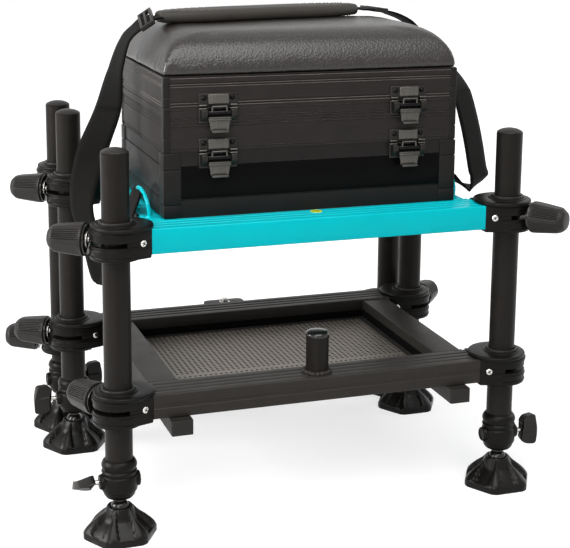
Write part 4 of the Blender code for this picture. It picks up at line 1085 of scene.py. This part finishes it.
# The finishes of the case's sections, and their places in that list. The lining's finish also gives the painted
# shade in the pan's holes, the dark steel's the painted shade in the latches' recesses, and the last is the
# grooves' painted highlight.
CASE_LOOKS = ("case_wall", "case_lining", "case_corner", "bare_panel", "latch_metal", "dark_steel",
              "latch_plate", "case_line")
WALL, LINING, CORNER, PANEL, METAL, DARK, PLATE, GROOVE_HIGHLIGHT = range(len(CASE_LOOKS))


def banded(low, high, bands, mouth_up, wall=0.005, floor=0.004):
    """A case section built up through its bands of (height, set in), with the hollow inside it."""
    bm = bmesh.new()
    corners = eased(oblong(-BOX_X, BOX_FRONT, BOX_X, BOX_BACK, 0.003))
    base = bm.faces.new([bm.verts.new((x, y, low)) for x, y in corners])
    top, set_in = [base], 0.0
    for height, inset in bands + [(high, 0.0)]:
        before = top[0].verts[0].co.z
        lifted = raised(bm, top, height - before)
        if top[0] is not base:
            bmesh.ops.delete(bm, geom=top, context='FACES_ONLY')
        top = lifted
        for vert in top[0].verts:
            vert.co.x -= math.copysign(1, vert.co.x) * (inset - set_in)
            vert.co.y -= math.copysign(1, vert.co.y - BOX_MID) * (inset - set_in)
        set_in = inset
    bmesh.ops.recalc_face_normals(bm, faces=bm.faces)
    mouth = top[0] if mouth_up else base
    bmesh.ops.inset_region(bm, faces=[mouth], thickness=wall, use_even_offset=True)
    lining = raised(bm, [mouth], (low + floor - high) if mouth_up else (high - floor - low))
    bmesh.ops.delete(bm, geom=[mouth], context='FACES_ONLY')
    bmesh.ops.recalc_face_normals(bm, faces=bm.faces)
    # Painted highlight: faces that slope upwards, the lower sides of the grooves, take the paler groove finish.
    for face in bm.faces:
        if 0.1 < face.normal.z < 0.98:
            face.material_index = GROOVE_HIGHLIGHT
    for face in lining:
        face.material_index = LINING
        for edge in face.edges:
            for side in edge.link_faces:
                side.material_index = LINING
    return bm


def grooves(*marks, depth=0.0009, width=0.0024):
    """Bands for thin drawn grooves at the given heights, from the lowest up."""
    out = []
    for mark in sorted(marks):
        out += [(mark - width / 2, 0.0), (mark - width / 4, depth), (mark + width / 4, depth),
                (mark + width / 2, 0.0)]
    return out


def corner_posts(bm, width, spans, proud):
    """Corner pieces at the four corners, one for each span of heights."""
    for sign in (-1, 1):
        x0, x1 = sorted((sign * (BOX_X + proud), sign * (BOX_X - width)))
        for y0, y1 in ((BOX_FRONT - proud, BOX_FRONT + width), (BOX_BACK - width, BOX_BACK + proud)):
            for z0, z1 in spans:
                joined(bm, block((x0, y0, z0), (x1, y1, z1), 0.0011, 3), CORNER)


def hinge_leaves(bm, seam, upper):
    """Hinge barrels and leaves behind the case at a seam."""
    half, leaf_h, leaf_y = 0.0225, 0.014, HINGE_Y - 0.0010
    for side in (-1, 1):
        middle = side * (0.125 if upper else 0.1705)
        joined(bm, peg(0.0040, half, 0.0004, 32), METAL, facing((middle, HINGE_Y, seam), (1, 0, 0)))
        z0, z1 = (seam + TOUCH, seam + leaf_h) if upper else (seam - leaf_h, seam - TOUCH)
        leaf_half = half - 0.0003
        leaf = block((middle - leaf_half, BOX_BACK - 0.001, z0), (middle + leaf_half, leaf_y, z1), 0.0008, 2)
        joined(bm, leaf, METAL)
        for x in (-0.014, 0.014):
            screw = lathe(eased([(0, 0.0010), (0.0020, 0.0009), (0.0028, 0.0), (0, 0.0)]), 20)
            place = (middle + x, leaf_y, (z0 + z1) / 2 + (0.001 if upper else -0.001))
            joined(bm, screw, DARK, facing(place, (0, 1, 0)))


def latch_fixed(bm, seam, upper):
    """The fixed halves of two latches at a seam: screwed strikes with bails above it, or ears below."""
    front, plate_half, plate_t = BOX_FRONT, 0.0258, 0.0024
    for sign in (-1, 1):
        x = sign * LATCH_X
        z0, z1 = (seam + 0.0008, seam + 0.0178) if upper else (seam - 0.0215, seam - 0.0008)
        plate = block((x - plate_half, front - plate_t, z0), (x + plate_half, front + 0.001, z1), 0.0008, 3)
        joined(bm, plate, PLATE)
        if upper:
            strike = block((x - 0.0138, front - 0.0058, z0 + 0.0030), (x + 0.0138, front - 0.0010, z1 - 0.0008),
                           0.0012, 3)
            joined(bm, strike, METAL)
            bail = [(-0.0098, -0.0085, -0.0080), (-0.0098, -0.0092, -0.0020), (-0.0092, -0.0092, 0.0012),
                    (0.0092, -0.0092, 0.0012), (0.0098, -0.0092, -0.0020), (0.0098, -0.0085, -0.0080)]
            joined(bm, rod(bail, 0.0013), METAL, Matrix.Translation((x, front, seam)))
            for u in (-0.0190, 0.0190):
                screw = lathe(eased([(0, 0.0022), (0.0018, 0.0020), (0.0032, 0.0008), (0.0036, 0.0),
                                     (0, 0.0)]), 24)
                joined(bm, screw, DARK, facing((x + u, front - plate_t, z0 + 0.0112), (0, -1, 0)))
        for u in (-1, 1):
            place = (x + u * 0.0208, front - 0.0036, seam + (0.0022 if upper else -0.0022))
            joined(bm, peg(0.0014, 0.0048, 0.0004, 20), METAL, facing(place, (1, 0, 0)))
            if not upper:
                section = eased([(-0.0115, -0.0025, 0.002), (-0.0010, -0.0025, 0.002), (0.001, -0.0125),
                                 (0.001, -0.0180), (-0.0060, -0.0180, 0.002), (-0.0115, -0.0100, 0.003)])
                ear_x, ear_half = x + u * 0.0198, 0.0040
                ear = slab(section, ear_x - ear_half, ear_x + ear_half, 0.0007, 2, over=55)
                joined(bm, ear, PLATE, Matrix.Translation((0, front, seam)) @ ALONG_X)
        # Painted shade: a near-black block on the lower plate, between the ears and behind the lever, stands in
        # for the shaded recess there.
        if not upper:
            gap_half = 0.0155
            gap = block((x - gap_half, front - 0.0028, seam - 0.0118),
                        (x + gap_half, front - 0.0010, seam - 0.0015))
            joined(bm, gap, DARK)


class SEATBOX_OT_case(Operator):
    """Case base, tray and lid with their corner pieces, hinges and latch plates"""
    bl_idname = "seatbox.case"
    bl_label = "Case"

    def execute(self, context):
        self.base(SEAT_TOP + TOUCH, TRAY_SEAM - TOUCH / 2)
        self.tray(TRAY_SEAM + TOUCH / 2, LID_SEAM - TOUCH / 2)
        self.lid(LID_SEAM + TOUCH / 2, CUSHION_LOW.z - TOUCH)
        return {'FINISHED'}

    def base(self, low, high):
        """The base: wide corner pieces, bare panels in front and behind, and plain ones at the sides."""
        bm = banded(low, high, grooves(low + 0.0245, high - 0.0180), True)
        corner_posts(bm, 0.0225, [(low + 0.0004, low + 0.0170), (low + 0.0174, low + 0.0640),
                                  (low + 0.0644, high - 0.0006)], POST_PROUD)
        margin, panel_low, panel_high = 0.0228, low + 0.0252, low + 0.0676
        for y0, y1 in ((BOX_FRONT - 0.0007, BOX_FRONT + 0.001), (BOX_BACK - 0.001, BOX_BACK + 0.0007)):
            panel = block((-BOX_X + margin, y0, panel_low), (BOX_X - margin, y1, panel_high), 0.0003, 2)
            joined(bm, panel, PANEL)
        for sign in (-1, 1):
            x0, x1 = sorted((sign * (BOX_X - 0.001), sign * (BOX_X + 0.0005)))
            panel = block((x0, BOX_FRONT + margin, panel_low), (x1, BOX_BACK - margin, panel_high), 0.0003, 2)
            joined(bm, panel, WALL)
        hinge_leaves(bm, TRAY_SEAM, False)
        latch_fixed(bm, TRAY_SEAM, False)
        piece("box_base", bm, ("case_corner", *CASE_LOOKS[1:]), "seat", "case", "case_base")

    def tray(self, low, high):
        """The tray section, between two seams."""
        bm = banded(low, high, grooves(low + 0.0016, low + 0.0046, low + 0.0335, low + 0.0375, low + 0.0415,
                                       low + 0.0445, low + 0.0545), True)
        corner_posts(bm, 0.0088, [(low + 0.0004, low + 0.0190), (low + 0.0194, high - 0.0004)], POST_PROUD / 2)
        hinge_leaves(bm, TRAY_SEAM, True)
        hinge_leaves(bm, LID_SEAM, False)
        latch_fixed(bm, TRAY_SEAM, True)
        latch_fixed(bm, LID_SEAM, False)
        piece("box_tray", bm, CASE_LOOKS, "tray", "case", "case_tray")

    def lid(self, low, high):
        """The lid, hollow from below."""
        bm = banded(low, high, grooves(low + 0.0025, low + 0.0060, low + 0.0272, low + 0.0302, low + 0.0382),
                    False)
        corner_posts(bm, 0.0088, [(low + 0.0004, low + 0.0130), (low + 0.0134, high - 0.0004)], POST_PROUD / 2)
        hinge_leaves(bm, LID_SEAM, True)
        latch_fixed(bm, LID_SEAM, True)
        piece("box_lid", bm, CASE_LOOKS, "lid", "case", "case_lid")


class SEATBOX_OT_latches(Operator):
    """Latch levers with their ribbed pulls"""
    bl_idname = "seatbox.latches"
    bl_label = "Latches"

    def execute(self, context):
        for row, seam in (("lower", TRAY_SEAM), ("upper", LID_SEAM)):
            for side, sign in SIDES:
                name = "latch_" + row + "_" + side
                half = 0.0150
                bm = bmesh.new()
                joined(bm, peg(0.0032, half, 0.0006, 32), 1, facing((0, -0.0075, -0.0070), (1, 0, 0)))
                joined(bm, block((-half, -0.0116, -0.0168), (half, -0.0062, -0.0122), 0.0013, 3))
                for z in (-0.0132, -0.0160):
                    joined(bm, peg(0.0009, half - 0.0001, 0.0003, 16), 2, facing((0, -0.0116, z), (1, 0, 0)))
                tongue = eased([(-0.0142, -0.0160), (0.0142, -0.0160), (0.0120, -0.0300, 0.0012),
                                (-0.0120, -0.0300, 0.0012)])
                joined(bm, slab(tongue, 0.0085, 0.0103, 0.0005, 2, over=60), 0, ALONG_Y)
                joined(bm, block((-0.0112, -0.0148, -0.0325), (0.0112, -0.0085, -0.0294), 0.0010, 3), 2)
                bmesh.ops.translate(bm, vec=(sign * LATCH_X, BOX_FRONT, seam), verts=bm.verts)
                piece("pull_" + name, bm, ("latch_metal", "dark_steel", "latch_edge"), name, "latch", name)
        return {'FINISHED'}


class SEATBOX_OT_cushion(Operator):
    """Padded seat in pebbled leathercloth"""
    bl_idname = "seatbox.cushion"
    bl_label = "Cushion"

    def execute(self, context):
        swell = context.scene.seat_box_sizes.cushion_swell
        shape = self.inflated(self.pad(swell / 2), swell)
        bm = bmesh.new()
        bm.from_mesh(shape)
        bpy.data.meshes.remove(shape)
        self.fitted(bm)
        self.pucker(bm)
        made = piece("padded_seat", bm, ("pebbled_cloth",), "lid", "leathercloth", "seat_cushion", fold=60)
        fine = made.modifiers.new("fine", 'SUBSURF')
        fine.levels = fine.render_levels = 1
        return {'FINISHED'}

    def pad(self, shy):
        """The pad's form: upright at its foot, rolled over above it and crowned, held in by a margin."""
        tall = CUSHION_HIGH.z - CUSHION_LOW.z - shy
        half_y = (BOX_BACK - BOX_FRONT) / 2
        # Set in across, set in front to back, and share of the height
        rings = [(0.0, 0.0, 0.0), (0.0, 0.0, 0.09), (0.0005, 0.0006, 0.21), (0.0017, 0.0017, 0.32),
                 (0.0042, 0.0039, 0.43), (0.0075, 0.0070, 0.535), (0.0106, 0.0102, 0.625),
                 (0.0142, 0.0143, 0.715), (0.0176, 0.0187, 0.785), (0.0206, 0.0233, 0.84),
                 (0.0245, 0.0295, 0.893), (0.0285, 0.0366, 0.93), (0.0356, 0.0485, 0.964),
                 (0.0490, 0.0670, 0.99)]
        bm = bmesh.new()
        below = None
        for across, deep, share in rings:
            held = shy * smooth(share / 0.3)
            x, y, turn = BOX_X - across - held, half_y - deep - held, 0.003 + 0.85 * max(across, deep)
            corners = eased(oblong(-x, -y, x, y, turn), 8)
            verts = [bm.verts.new((u, v + BOX_MID, CUSHION_LOW.z + share * tall)) for u, v in corners]
            ring = [bm.edges.new(pair) for pair in zip(verts, verts[1:] + verts[:1])]
            if below:
                bmesh.ops.bridge_loops(bm, edges=below + ring)
            else:
                bm.faces.new(verts)
            below = ring
        crown = bmesh.ops.poke(bm, faces=[bm.faces.new(verts)])["verts"]
        bmesh.ops.translate(bm, verts=crown, vec=(0, 0, (1 - share) * tall))
        bmesh.ops.recalc_face_normals(bm, faces=bm.faces)
        mesh = bpy.data.meshes.new("pad")
        bm.to_mesh(mesh)
        bm.free()
        return mesh

    def inflated(self, mesh, swell):
        """The pad on an even mesh, after a short cloth simulation."""
        voxel, held_height, pressure, frames = 0.005, 0.004, 4.0, 20
        holder = bpy.data.objects.new("pad", mesh)
        bpy.context.scene.collection.objects.link(holder)
        remesh = holder.modifiers.new("remesh", 'REMESH')
        remesh.mode = 'VOXEL'
        remesh.voxel_size = voxel
        bpy.context.view_layer.update()
        even = evaluated(holder)
        holder.modifiers.clear()
        holder.data = even
        bpy.data.meshes.remove(mesh)
        rest = [v.co.copy() for v in even.vertices]
        held = holder.vertex_groups.new(name="held")
        held.add([i for i, co in enumerate(rest) if co.z < CUSHION_LOW.z + held_height], 1.0, 'REPLACE')
        cloth = holder.modifiers.new("cloth", 'CLOTH')
        cloth.settings.vertex_group_mass = "held"
        cloth.settings.use_pressure = True
        cloth.settings.uniform_pressure_force = pressure
        cloth.settings.effector_weights.gravity = 0.0
        cloth.settings.quality = 5
        scene = bpy.context.scene
        cloth.point_cache.frame_start, cloth.point_cache.frame_end = 1, frames
        for step in range(1, frames + 1):
            scene.frame_set(step)
        blown = evaluated(holder)
        for vert, start in zip(blown.vertices, rest):
            move = vert.co - start
            if move.length > swell:
                move *= swell / move.length
            vert.co = start + move
        scene.frame_set(1)
        bpy.data.objects.remove(holder)
        bpy.data.meshes.remove(even)
        return blown

    def fitted(self, bm):
        """Scales the pad to the lid's outline and the cushion's height."""
        bmesh.ops.smooth_vert(bm, verts=bm.verts, factor=0.5, use_axis_x=True, use_axis_y=True, use_axis_z=True)
        foot = Vector((0, BOX_MID, min(v.co.z for v in bm.verts)))
        bmesh.ops.translate(bm, verts=bm.verts, vec=-foot)
        wide = max(abs(v.co.x) for v in bm.verts)
        deep = max(abs(v.co.y) for v in bm.verts)
        tall = max(v.co.z for v in bm.verts)
        over = 0.0010
        grow = ((BOX_X + over) / wide, ((BOX_BACK - BOX_FRONT) / 2 + over) / deep,
                (CUSHION_HIGH.z - CUSHION_LOW.z) / tall)
        bmesh.ops.scale(bm, verts=bm.verts, vec=grow)
        bmesh.ops.translate(bm, verts=bm.verts, vec=(0, foot.y, CUSHION_LOW.z))

    def pucker(self, bm):
        """Draws the cover in along its foot, in uneven puckers, and lays soft creases at the corners."""
        half_y = BOX_BACK - BOX_MID
        for vert in bm.verts:
            up = vert.co.z - CUSHION_LOW.z
            out = Vector((vert.co.x / BOX_X, (vert.co.y - BOX_MID) / half_y, 0))
            edge = max(abs(out.x), abs(out.y))
            if edge < 0.8:
                continue
            if abs(out.y) > abs(out.x):
                along, way = vert.co.x, Vector((0, math.copysign(1, out.y), 0))
            else:
                along, way = vert.co.y, Vector((math.copysign(1, out.x), 0, 0))
            near_corner = smooth((min(abs(out.x), abs(out.y)) - 0.72) / 0.25)
            fold = noise.noise((along * 70, up * 12, 3.1)) + 0.5 * noise.noise((along * 150, up * 20, 7.7))
            fade = smooth(1 - abs(up - 0.007) / 0.014) * smooth((edge - 0.8) / 0.15)
            vert.co += way * fold * (0.0010 + 0.0012 * near_corner) * fade
            tuck = smooth(1 - up / (0.0050 + 0.0022 * noise.noise((along * 60, 1.7, 0.0))))
            vert.co -= way * (0.0026 if way.y else 0.0006) * tuck * smooth((edge - 0.9) / 0.08)
            if way.x:
                # Creases at the sides, by their distance from the corner and their depth
                for back, depth in ((0.013, 0.0011), (0.024, 0.0014), (0.039, 0.0008)):
                    gap = (abs(vert.co.y - BOX_MID) + back - half_y) / 0.0032
                    upright = smooth(up / 0.006) * smooth((0.034 - up) / 0.02)
                    vert.co -= way * depth * math.exp(-gap * gap) * upright
            slow = noise.noise((vert.co.x * 14, vert.co.y * 14, up * 22))
            vert.co += way * slow * 0.0007 * smooth((edge - 0.8) / 0.2)
        for vert in bm.verts:
            vert.co.z = max(vert.co.z, CUSHION_LOW.z)


ROUTE_STEPS = 8


def smooth_route(route, steps=ROUTE_STEPS):
    """Points on a smooth curve through the route, with their width headings."""
    places = [Vector(place) for place, across in route]
    headings = [Vector(across) for place, across in route]
    spots = []
    for i in range(len(route) - 1):
        before = places[max(i - 1, 0)]
        after = places[min(i + 2, len(places) - 1)]
        a, b = places[i], places[i + 1]
        for step in range(steps):
            t = step / steps
            bend = 0.5 * (2 * a + (b - before) * t + (2 * before - 5 * a + 4 * b - after) * t * t
                          + (3 * a - before - 3 * b + after) * t ** 3)
            spots.append((bend, headings[i].lerp(headings[i + 1], t)))
    spots.append((places[-1], headings[-1]))
    return spots


class SEATBOX_OT_strap(Operator):
    """Shoulder strap: padded sleeve, buckles and the webbing on both sides"""
    bl_idname = "seatbox.strap"
    bl_label = "Shoulder strap"

    def execute(self, context):
        sizes = context.scene.seat_box_sizes
        pad_l, pad_w, pad_t, droop = 0.322, 0.060, 0.016, 0.0005
        middle = Vector((-0.022, 0.200, CUSHION_HIGH.z + TOUCH + pad_t / 2))
        turn = math.radians(12.5)
        along = Vector((math.cos(turn), math.sin(turn), 0))
        across = Vector((-along.y, along.x, 0))
        end = along * (pad_l / 2 + TOUCH)
        drop = Vector((0, 0, droop))
        level, lean = (0.0, 1.0, 0.0), (0.85, 0.53, 0.0)
        loop_x = LOOP_X + LOOP_LEAN + LOOP_R + TOUCH + sizes.strap_thickness / 2
        loop_z = SEAT_TOP - LOOP_ROOT + LOOP_RISE - LOOP_R
        left = self.placed(-1, [((0.0138, 0.1345, 0.0066), across),
                                ((-0.001, 0.140, -0.0055), (-0.1, 0.99, 0.0)),
                                ((-0.017, 0.146, -0.0237), (-0.05, 1.0, 0.0)),
                                ((-0.030, 0.150, -0.0647), (-0.2, 0.98, 0.0)),
                                ((-0.041, 0.152, -0.1187), (-0.62, 0.78, 0.0))],
                           [((-0.0515, 0.088, 0.064), (-0.85, 0.52, 0.0)),
                            ((-0.070, 0.070, -0.002), (-0.5, 0.86, 0.0)),
                            ((-0.057, 0.060, -0.057), (-0.5, 0.86, 0.0)),
                            ((-0.045, 0.052, -0.106), (-0.6, 0.8, 0.0)),
                            ((-0.037, 0.036, -0.108), (-0.6, 0.8, 0.0)),
                            ((-0.030, 0.020, -0.060), (-0.3, 0.95, 0.0)),
                            ((-0.0203, 0.006, -0.012), level)])
        right = self.placed(1, [((-0.033, 0.212, 0.0053), across), ((-0.008, 0.206, -0.0017), across),
                                ((0.0135, 0.190, -0.0157), level), ((0.026, 0.150, -0.047), (0.15, 0.98, 0.0)),
                                ((0.0395, 0.100, -0.072), (0.4, 0.8, 0.0)), ((0.040, 0.066, -0.101), lean)],
                            [((0.0318, -0.012, 0.104), lean), ((0.0368, -0.020, 0.070), lean),
                             ((0.0428, -0.022, 0.036), lean), ((0.0463, -0.022, 0.022), lean),
                             ((0.037, -0.018, 0.006), (0.5, 0.8, 0.0)), ((0.0213, -0.006, 0.012), level)])
        left = [(middle - end - drop, across), *left, ((-loop_x, LOOP_Y, loop_z), level)]
        right = [(middle + end - drop, across), *right, ((loop_x, LOOP_Y, loop_z), level)]
        self.fall("left", left, 5, sizes)
        self.fall("right", right, 6, sizes)
        buckles = [self.lying(left, 1.25), self.lying(right, 0.9)]
        place = Matrix.Translation(middle) @ Matrix.Rotation(turn, 4, 'Z')
        self.sleeve(place, pad_l, pad_w, pad_t, droop, buckles, sizes)
        return {'FINISHED'}

    def lying(self, route, share):
        """The place of a buckle on its webbing: x along the route, y across it."""
        spots = smooth_route(route)
        at = round(share * ROUTE_STEPS)
        along = (spots[at + 1][0] - spots[at - 1][0]).normalized()
        up = along.cross(spots[at][1]).normalized()
        up = up if up.z > 0 else -up
        return Matrix.Translation(spots[at][0]) @ Matrix((along, up.cross(along), up)).transposed().to_4x4()

    def placed(self, sign, brow, fall):
        """A side's route: its upper points from the cushion's top edge, its lower from the loop."""
        corner = Vector((sign * BOX_X, BOX_FRONT, CUSHION_HIGH.z))
        loop = Vector((sign * LOOP_X, LOOP_Y, SEAT_TOP))
        upper = [(corner + Vector(offset), heading) for offset, heading in brow]
        return upper + [(loop + Vector(offset), heading) for offset, heading in fall]

    def fall(self, side, route, split, sizes):
        """One side's webbing, in an upper length and a lower one."""
        spots = smooth_route(route)
        cut = split * ROUTE_STEPS
        upper = self.webbing("webbing_" + side + "_upper", spots[:cut + 1], sizes)
        lower = self.webbing("webbing_" + side + "_lower", spots[cut:], sizes)
        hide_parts("strap_" + side)
        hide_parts("strap_" + side)
        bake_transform(upper[0])
        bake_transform(lower[0])

    def webbing(self, name, spots, sizes):
        """A length of webbing along its spots, with a UV map in metres for its weave."""
        columns, rows = 6, len(spots) - 1
        bm = bmesh.new()
        flat = bm.loops.layers.uv.new("weave")
        bmesh.ops.create_grid(bm, x_segments=columns, y_segments=rows, size=0.5)
        run = [0.0]
        for (a, _), (b, _) in zip(spots, spots[1:]):
            run.append(run[-1] + (b - a).length)
        where = {}
        for vert in bm.verts:
            row = round((vert.co.y + 0.5) * rows)
            share = vert.co.x
            place, heading = spots[row]
            where[vert] = (share * sizes.strap_width, run[row])
            vert.co = place + heading.normalized() * share * sizes.strap_width
        for face in bm.faces:
            for loop in face.loops:
                loop[flat].uv = where[loop.vert]
        made = piece(name, bm, ("strap_weave",), None, "webbing", fold=50)
        thick = made.modifiers.new("thick", 'SOLIDIFY')
        thick.thickness = sizes.strap_thickness
        thick.offset = 0.0
        bpy.context.view_layer.update()
        mesh = evaluated(made)
        made.modifiers.clear()
        old, made.data = made.data, mesh
        bpy.data.meshes.remove(old)
        mesh.name = name
        return made, run[-1]

    def sleeve(self, place, length, width, thick, droop, buckles, sizes):
        """The padded sleeve with its stitched border, and a ladder buckle at each end."""
        def plan(inset):
            w, l = width / 2 - inset, length / 2 - inset
            waist, taper = w * 0.42, l - 0.045
            return eased([(-l, -waist, 0.008), (-taper, -w, 0.030), (taper, -w, 0.030), (l, -waist, 0.008),
                          (l, waist, 0.008), (taper, w, 0.030), (-taper, w, 0.030), (-l, waist, 0.008)], 5)

        bm = bmesh.new()
        pad = slab(plan(0.0), -thick / 2, thick / 2)
        bmesh.ops.subdivide_edges(pad, edges=[e for e in pad.edges if e.calc_length() > 0.1], cuts=30)
        ease(pad, thick * 0.42, 4, over=60)
        joined(bm, pad)
        for side in (-1, 1):
            self.stitches(bm, [Vector((x, y, side * thick * 0.5)) for x, y in plan(0.0072)], sizes.stitch)
        for vert in bm.verts:
            vert.co.z -= droop * (2 * vert.co.x / length) ** 2
        bmesh.ops.transform(bm, matrix=place, verts=bm.verts)
        for spot in buckles:
            outer = oblong(-0.0105, -0.027, 0.0105, 0.027)
            inner = oblong(-0.0065, -0.0232, 0.0065, 0.0232)
            joined(bm, ring_slab(outer, inner, -0.0030, 0.0036, 0.0010, 3), 2, spot)
            joined(bm, block((-0.0018, -0.0240, -0.0012), (0.0018, 0.0240, 0.0040), 0.0008, 2), 2, spot)
        made = piece("shoulder_sleeve", bm, ("sleeve_cloth", "stitching", "moulding"), "lid", "webbing",
                     "strap_sleeve", fold=50)

    def stitches(self, bm, path, length):
        """Short raised stitches along a closed path."""
        spare, gap = 0.0, length * 0.35
        for a, b in zip(path, path[1:] + path[:1]):
            way = (b - a).normalized()
            run = (b - a).length
            at = spare
            while at + length <= run:
                mid = a + way * (at + length / 2)
                thread = lathe([(0, length / 2), (0.0006, length * 0.3), (0.0006, -length * 0.3),
                                (0, -length / 2)], 6)
                joined(bm, thread, 1, facing(mid, way))
                at += length + gap
            spare = max(at - run, 0.0)


def backdrop_rays(tree):
    """What sees the white backdrop: the camera, glass and gloss."""
    path = node(tree, 'ShaderNodeLightPath')
    shine = node(tree, 'ShaderNodeMath', operation='MAXIMUM')
    seen = node(tree, 'ShaderNodeMath', operation='MAXIMUM')
    wire(tree, (path, "Is Glossy Ray", shine, 0), (path, "Is Transmission Ray", shine, 1),
         (path, "Is Camera Ray", seen, 0), (shine, 0, seen, 1))
    return seen


class SEATBOX_OT_stage(Operator):
    """Pale floor, soft studio light and the camera at the photograph's angle"""
    bl_idname = "seatbox.stage"
    bl_label = "Stage"

    def execute(self, context):
        scene = context.scene
        bm = bmesh.new()
        bmesh.ops.create_grid(bm, x_segments=1, y_segments=1, size=8.0)
        mesh = bpy.data.meshes.new("floor")
        bm.to_mesh(mesh)
        bm.free()
        self.floor_finish("studio_floor")
        mesh.materials.append(bpy.data.materials["studio_floor"])
        floor = bpy.data.objects.new("floor", mesh)
        scene.collection.objects.link(floor)
        self.light("overhead", (-0.2, -1.15, 2.5), (0, 0.1, 0.5), 2.1, 68.0)
        self.light("key", (-1.5, -1.9, 1.3), (0, 0.1, 0.35), 0.9, 20.0)
        self.light("left", (-2.3, 0.25, 1.05), (0, 0.15, 0.4), 1.2, 62.0)
        self.light("right", (2.3, 0.2, 1.2), (0, 0.15, 0.4), 1.0, 10.0)
        scene.world = self.surround()
        scene.view_settings.view_transform = 'Standard'
        lens = bpy.data.cameras.new("photo_view")
        lens.lens, lens.sensor_width, lens.sensor_fit = 90.0, 36.0, 'HORIZONTAL'
        lens.shift_x, lens.shift_y = PHOTO_OFF_X_PX / PHOTO_W_PX, PHOTO_OFF_Y_PX / PHOTO_W_PX
        camera = bpy.data.objects.new("photo_view", lens)
        swing, dip, roll = math.radians(19.29), math.radians(11.29), math.radians(0.6)
        look = Vector((math.sin(swing) * math.cos(dip), math.cos(swing) * math.cos(dip), -math.sin(dip)))
        camera.matrix_world = (Matrix.Translation((-0.6330, -1.7258, 0.8369))
                               @ look.to_track_quat('-Z', 'Y').to_matrix().to_4x4()
                               @ Matrix.Rotation(roll, 4, 'Z'))
        scene.collection.objects.link(camera)
        scene.camera = camera
        return {'FINISHED'}

    def light(self, name, place, aim, size, power):
        """A square soft light at a place, aimed at a point."""
        lamp = bpy.data.lights.new(name, 'AREA')
        lamp.size, lamp.energy = size, power
        held = bpy.data.objects.new(name, lamp)
        held.location = place
        held.rotation_euler = (Vector(aim) - Vector(place)).to_track_quat('-Z', 'Y').to_euler()
        bpy.context.scene.collection.objects.link(held)

    def floor_finish(self, name):
        """A pale floor that is white to the camera, and keeps the object's shadow."""
        tree, shader = material(name, {"Base Color": (0.50, 0.50, 0.50, 1), "Roughness": 0.9,
                                       "Specular IOR Level": 0.0, "Emission Color": (1, 1, 1, 1)})
        seen = backdrop_rays(tree)
        level = node(tree, 'ShaderNodeMath', operation='MULTIPLY')
        away = node(tree, 'ShaderNodeVectorMath', operation='LENGTH')
        glow = node(tree, 'ShaderNodeMapRange',
                    {"From Min": 0.5, "From Max": 2.0, "To Min": 0.66, "To Max": 1.0})
        wire(tree, (node(tree, 'ShaderNodeTexCoord'), "Object", away, 0), (away, "Value", glow, "Value"),
             (seen, 0, level, 0), (glow, "Result", level, 1), (level, 0, shader, "Emission Strength"))

    def surround(self):
        """A studio that is white to the camera, and lights the object more from behind than from the front."""
        world = bpy.data.worlds.new("studio")
        world.use_nodes = True
        tree = world.node_tree
        back = tree.nodes["Background"]
        back.inputs["Color"].default_value = (1, 1, 1, 1)
        way = node(tree, 'ShaderNodeSeparateXYZ')
        behind = node(tree, 'ShaderNodeMapRange',
                      {"From Min": -0.2, "From Max": 0.9, "To Min": 0.16, "To Max": 0.55})
        level = node(tree, 'ShaderNodeMix', {"B": 1.0})
        wire(tree, (node(tree, 'ShaderNodeTexCoord'), "Generated", way, 0), (way, "Y", behind, "Value"),
             (backdrop_rays(tree), 0, level, "Factor"), (behind, "Result", level, "A"),
             (level, "Result", back, "Strength"))
        return world


class SEATBOX_PT_panel(Panel):
    """Lists the seat box's pieces, sizes and colours"""
    bl_label = "Seat box"
    bl_space_type = 'VIEW_3D'
    bl_region_type = 'UI'
    bl_category = "Seat box"

    def draw(self, context):
        for step in STEPS:
            self.layout.operator(step.bl_idname)
        for holder in (context.scene.seat_box_sizes, context.scene.seat_box_colours):
            for key in holder.__annotations__:
                self.layout.prop(holder, key)


STEPS = (SEATBOX_OT_finishes, SEATBOX_OT_legs, SEATBOX_OT_feet, SEATBOX_OT_wing_screws, SEATBOX_OT_knobs,
         SEATBOX_OT_clamps, SEATBOX_OT_seat_frame, SEATBOX_OT_footplate, SEATBOX_OT_pan, SEATBOX_OT_case,
         SEATBOX_OT_latches, SEATBOX_OT_cushion, SEATBOX_OT_strap, SEATBOX_OT_stage)
CLASSES = (SeatBoxSizes, SeatBoxColours, *STEPS, SEATBOX_PT_panel)


def register():
    for kind in CLASSES:
        bpy.utils.register_class(kind)
    bpy.types.Scene.seat_box_sizes = PointerProperty(type=SeatBoxSizes)
    bpy.types.Scene.seat_box_colours = PointerProperty(type=SeatBoxColours)


def unregister():
    del bpy.types.Scene.seat_box_colours
    del bpy.types.Scene.seat_box_sizes
    for kind in reversed(CLASSES):
        bpy.utils.unregister_class(kind)


def main():
    register()
    for step in STEPS:
        name = step.bl_idname.split(".")[1]
        getattr(bpy.ops.seatbox, name)()


if __name__ == "__main__":
    main()
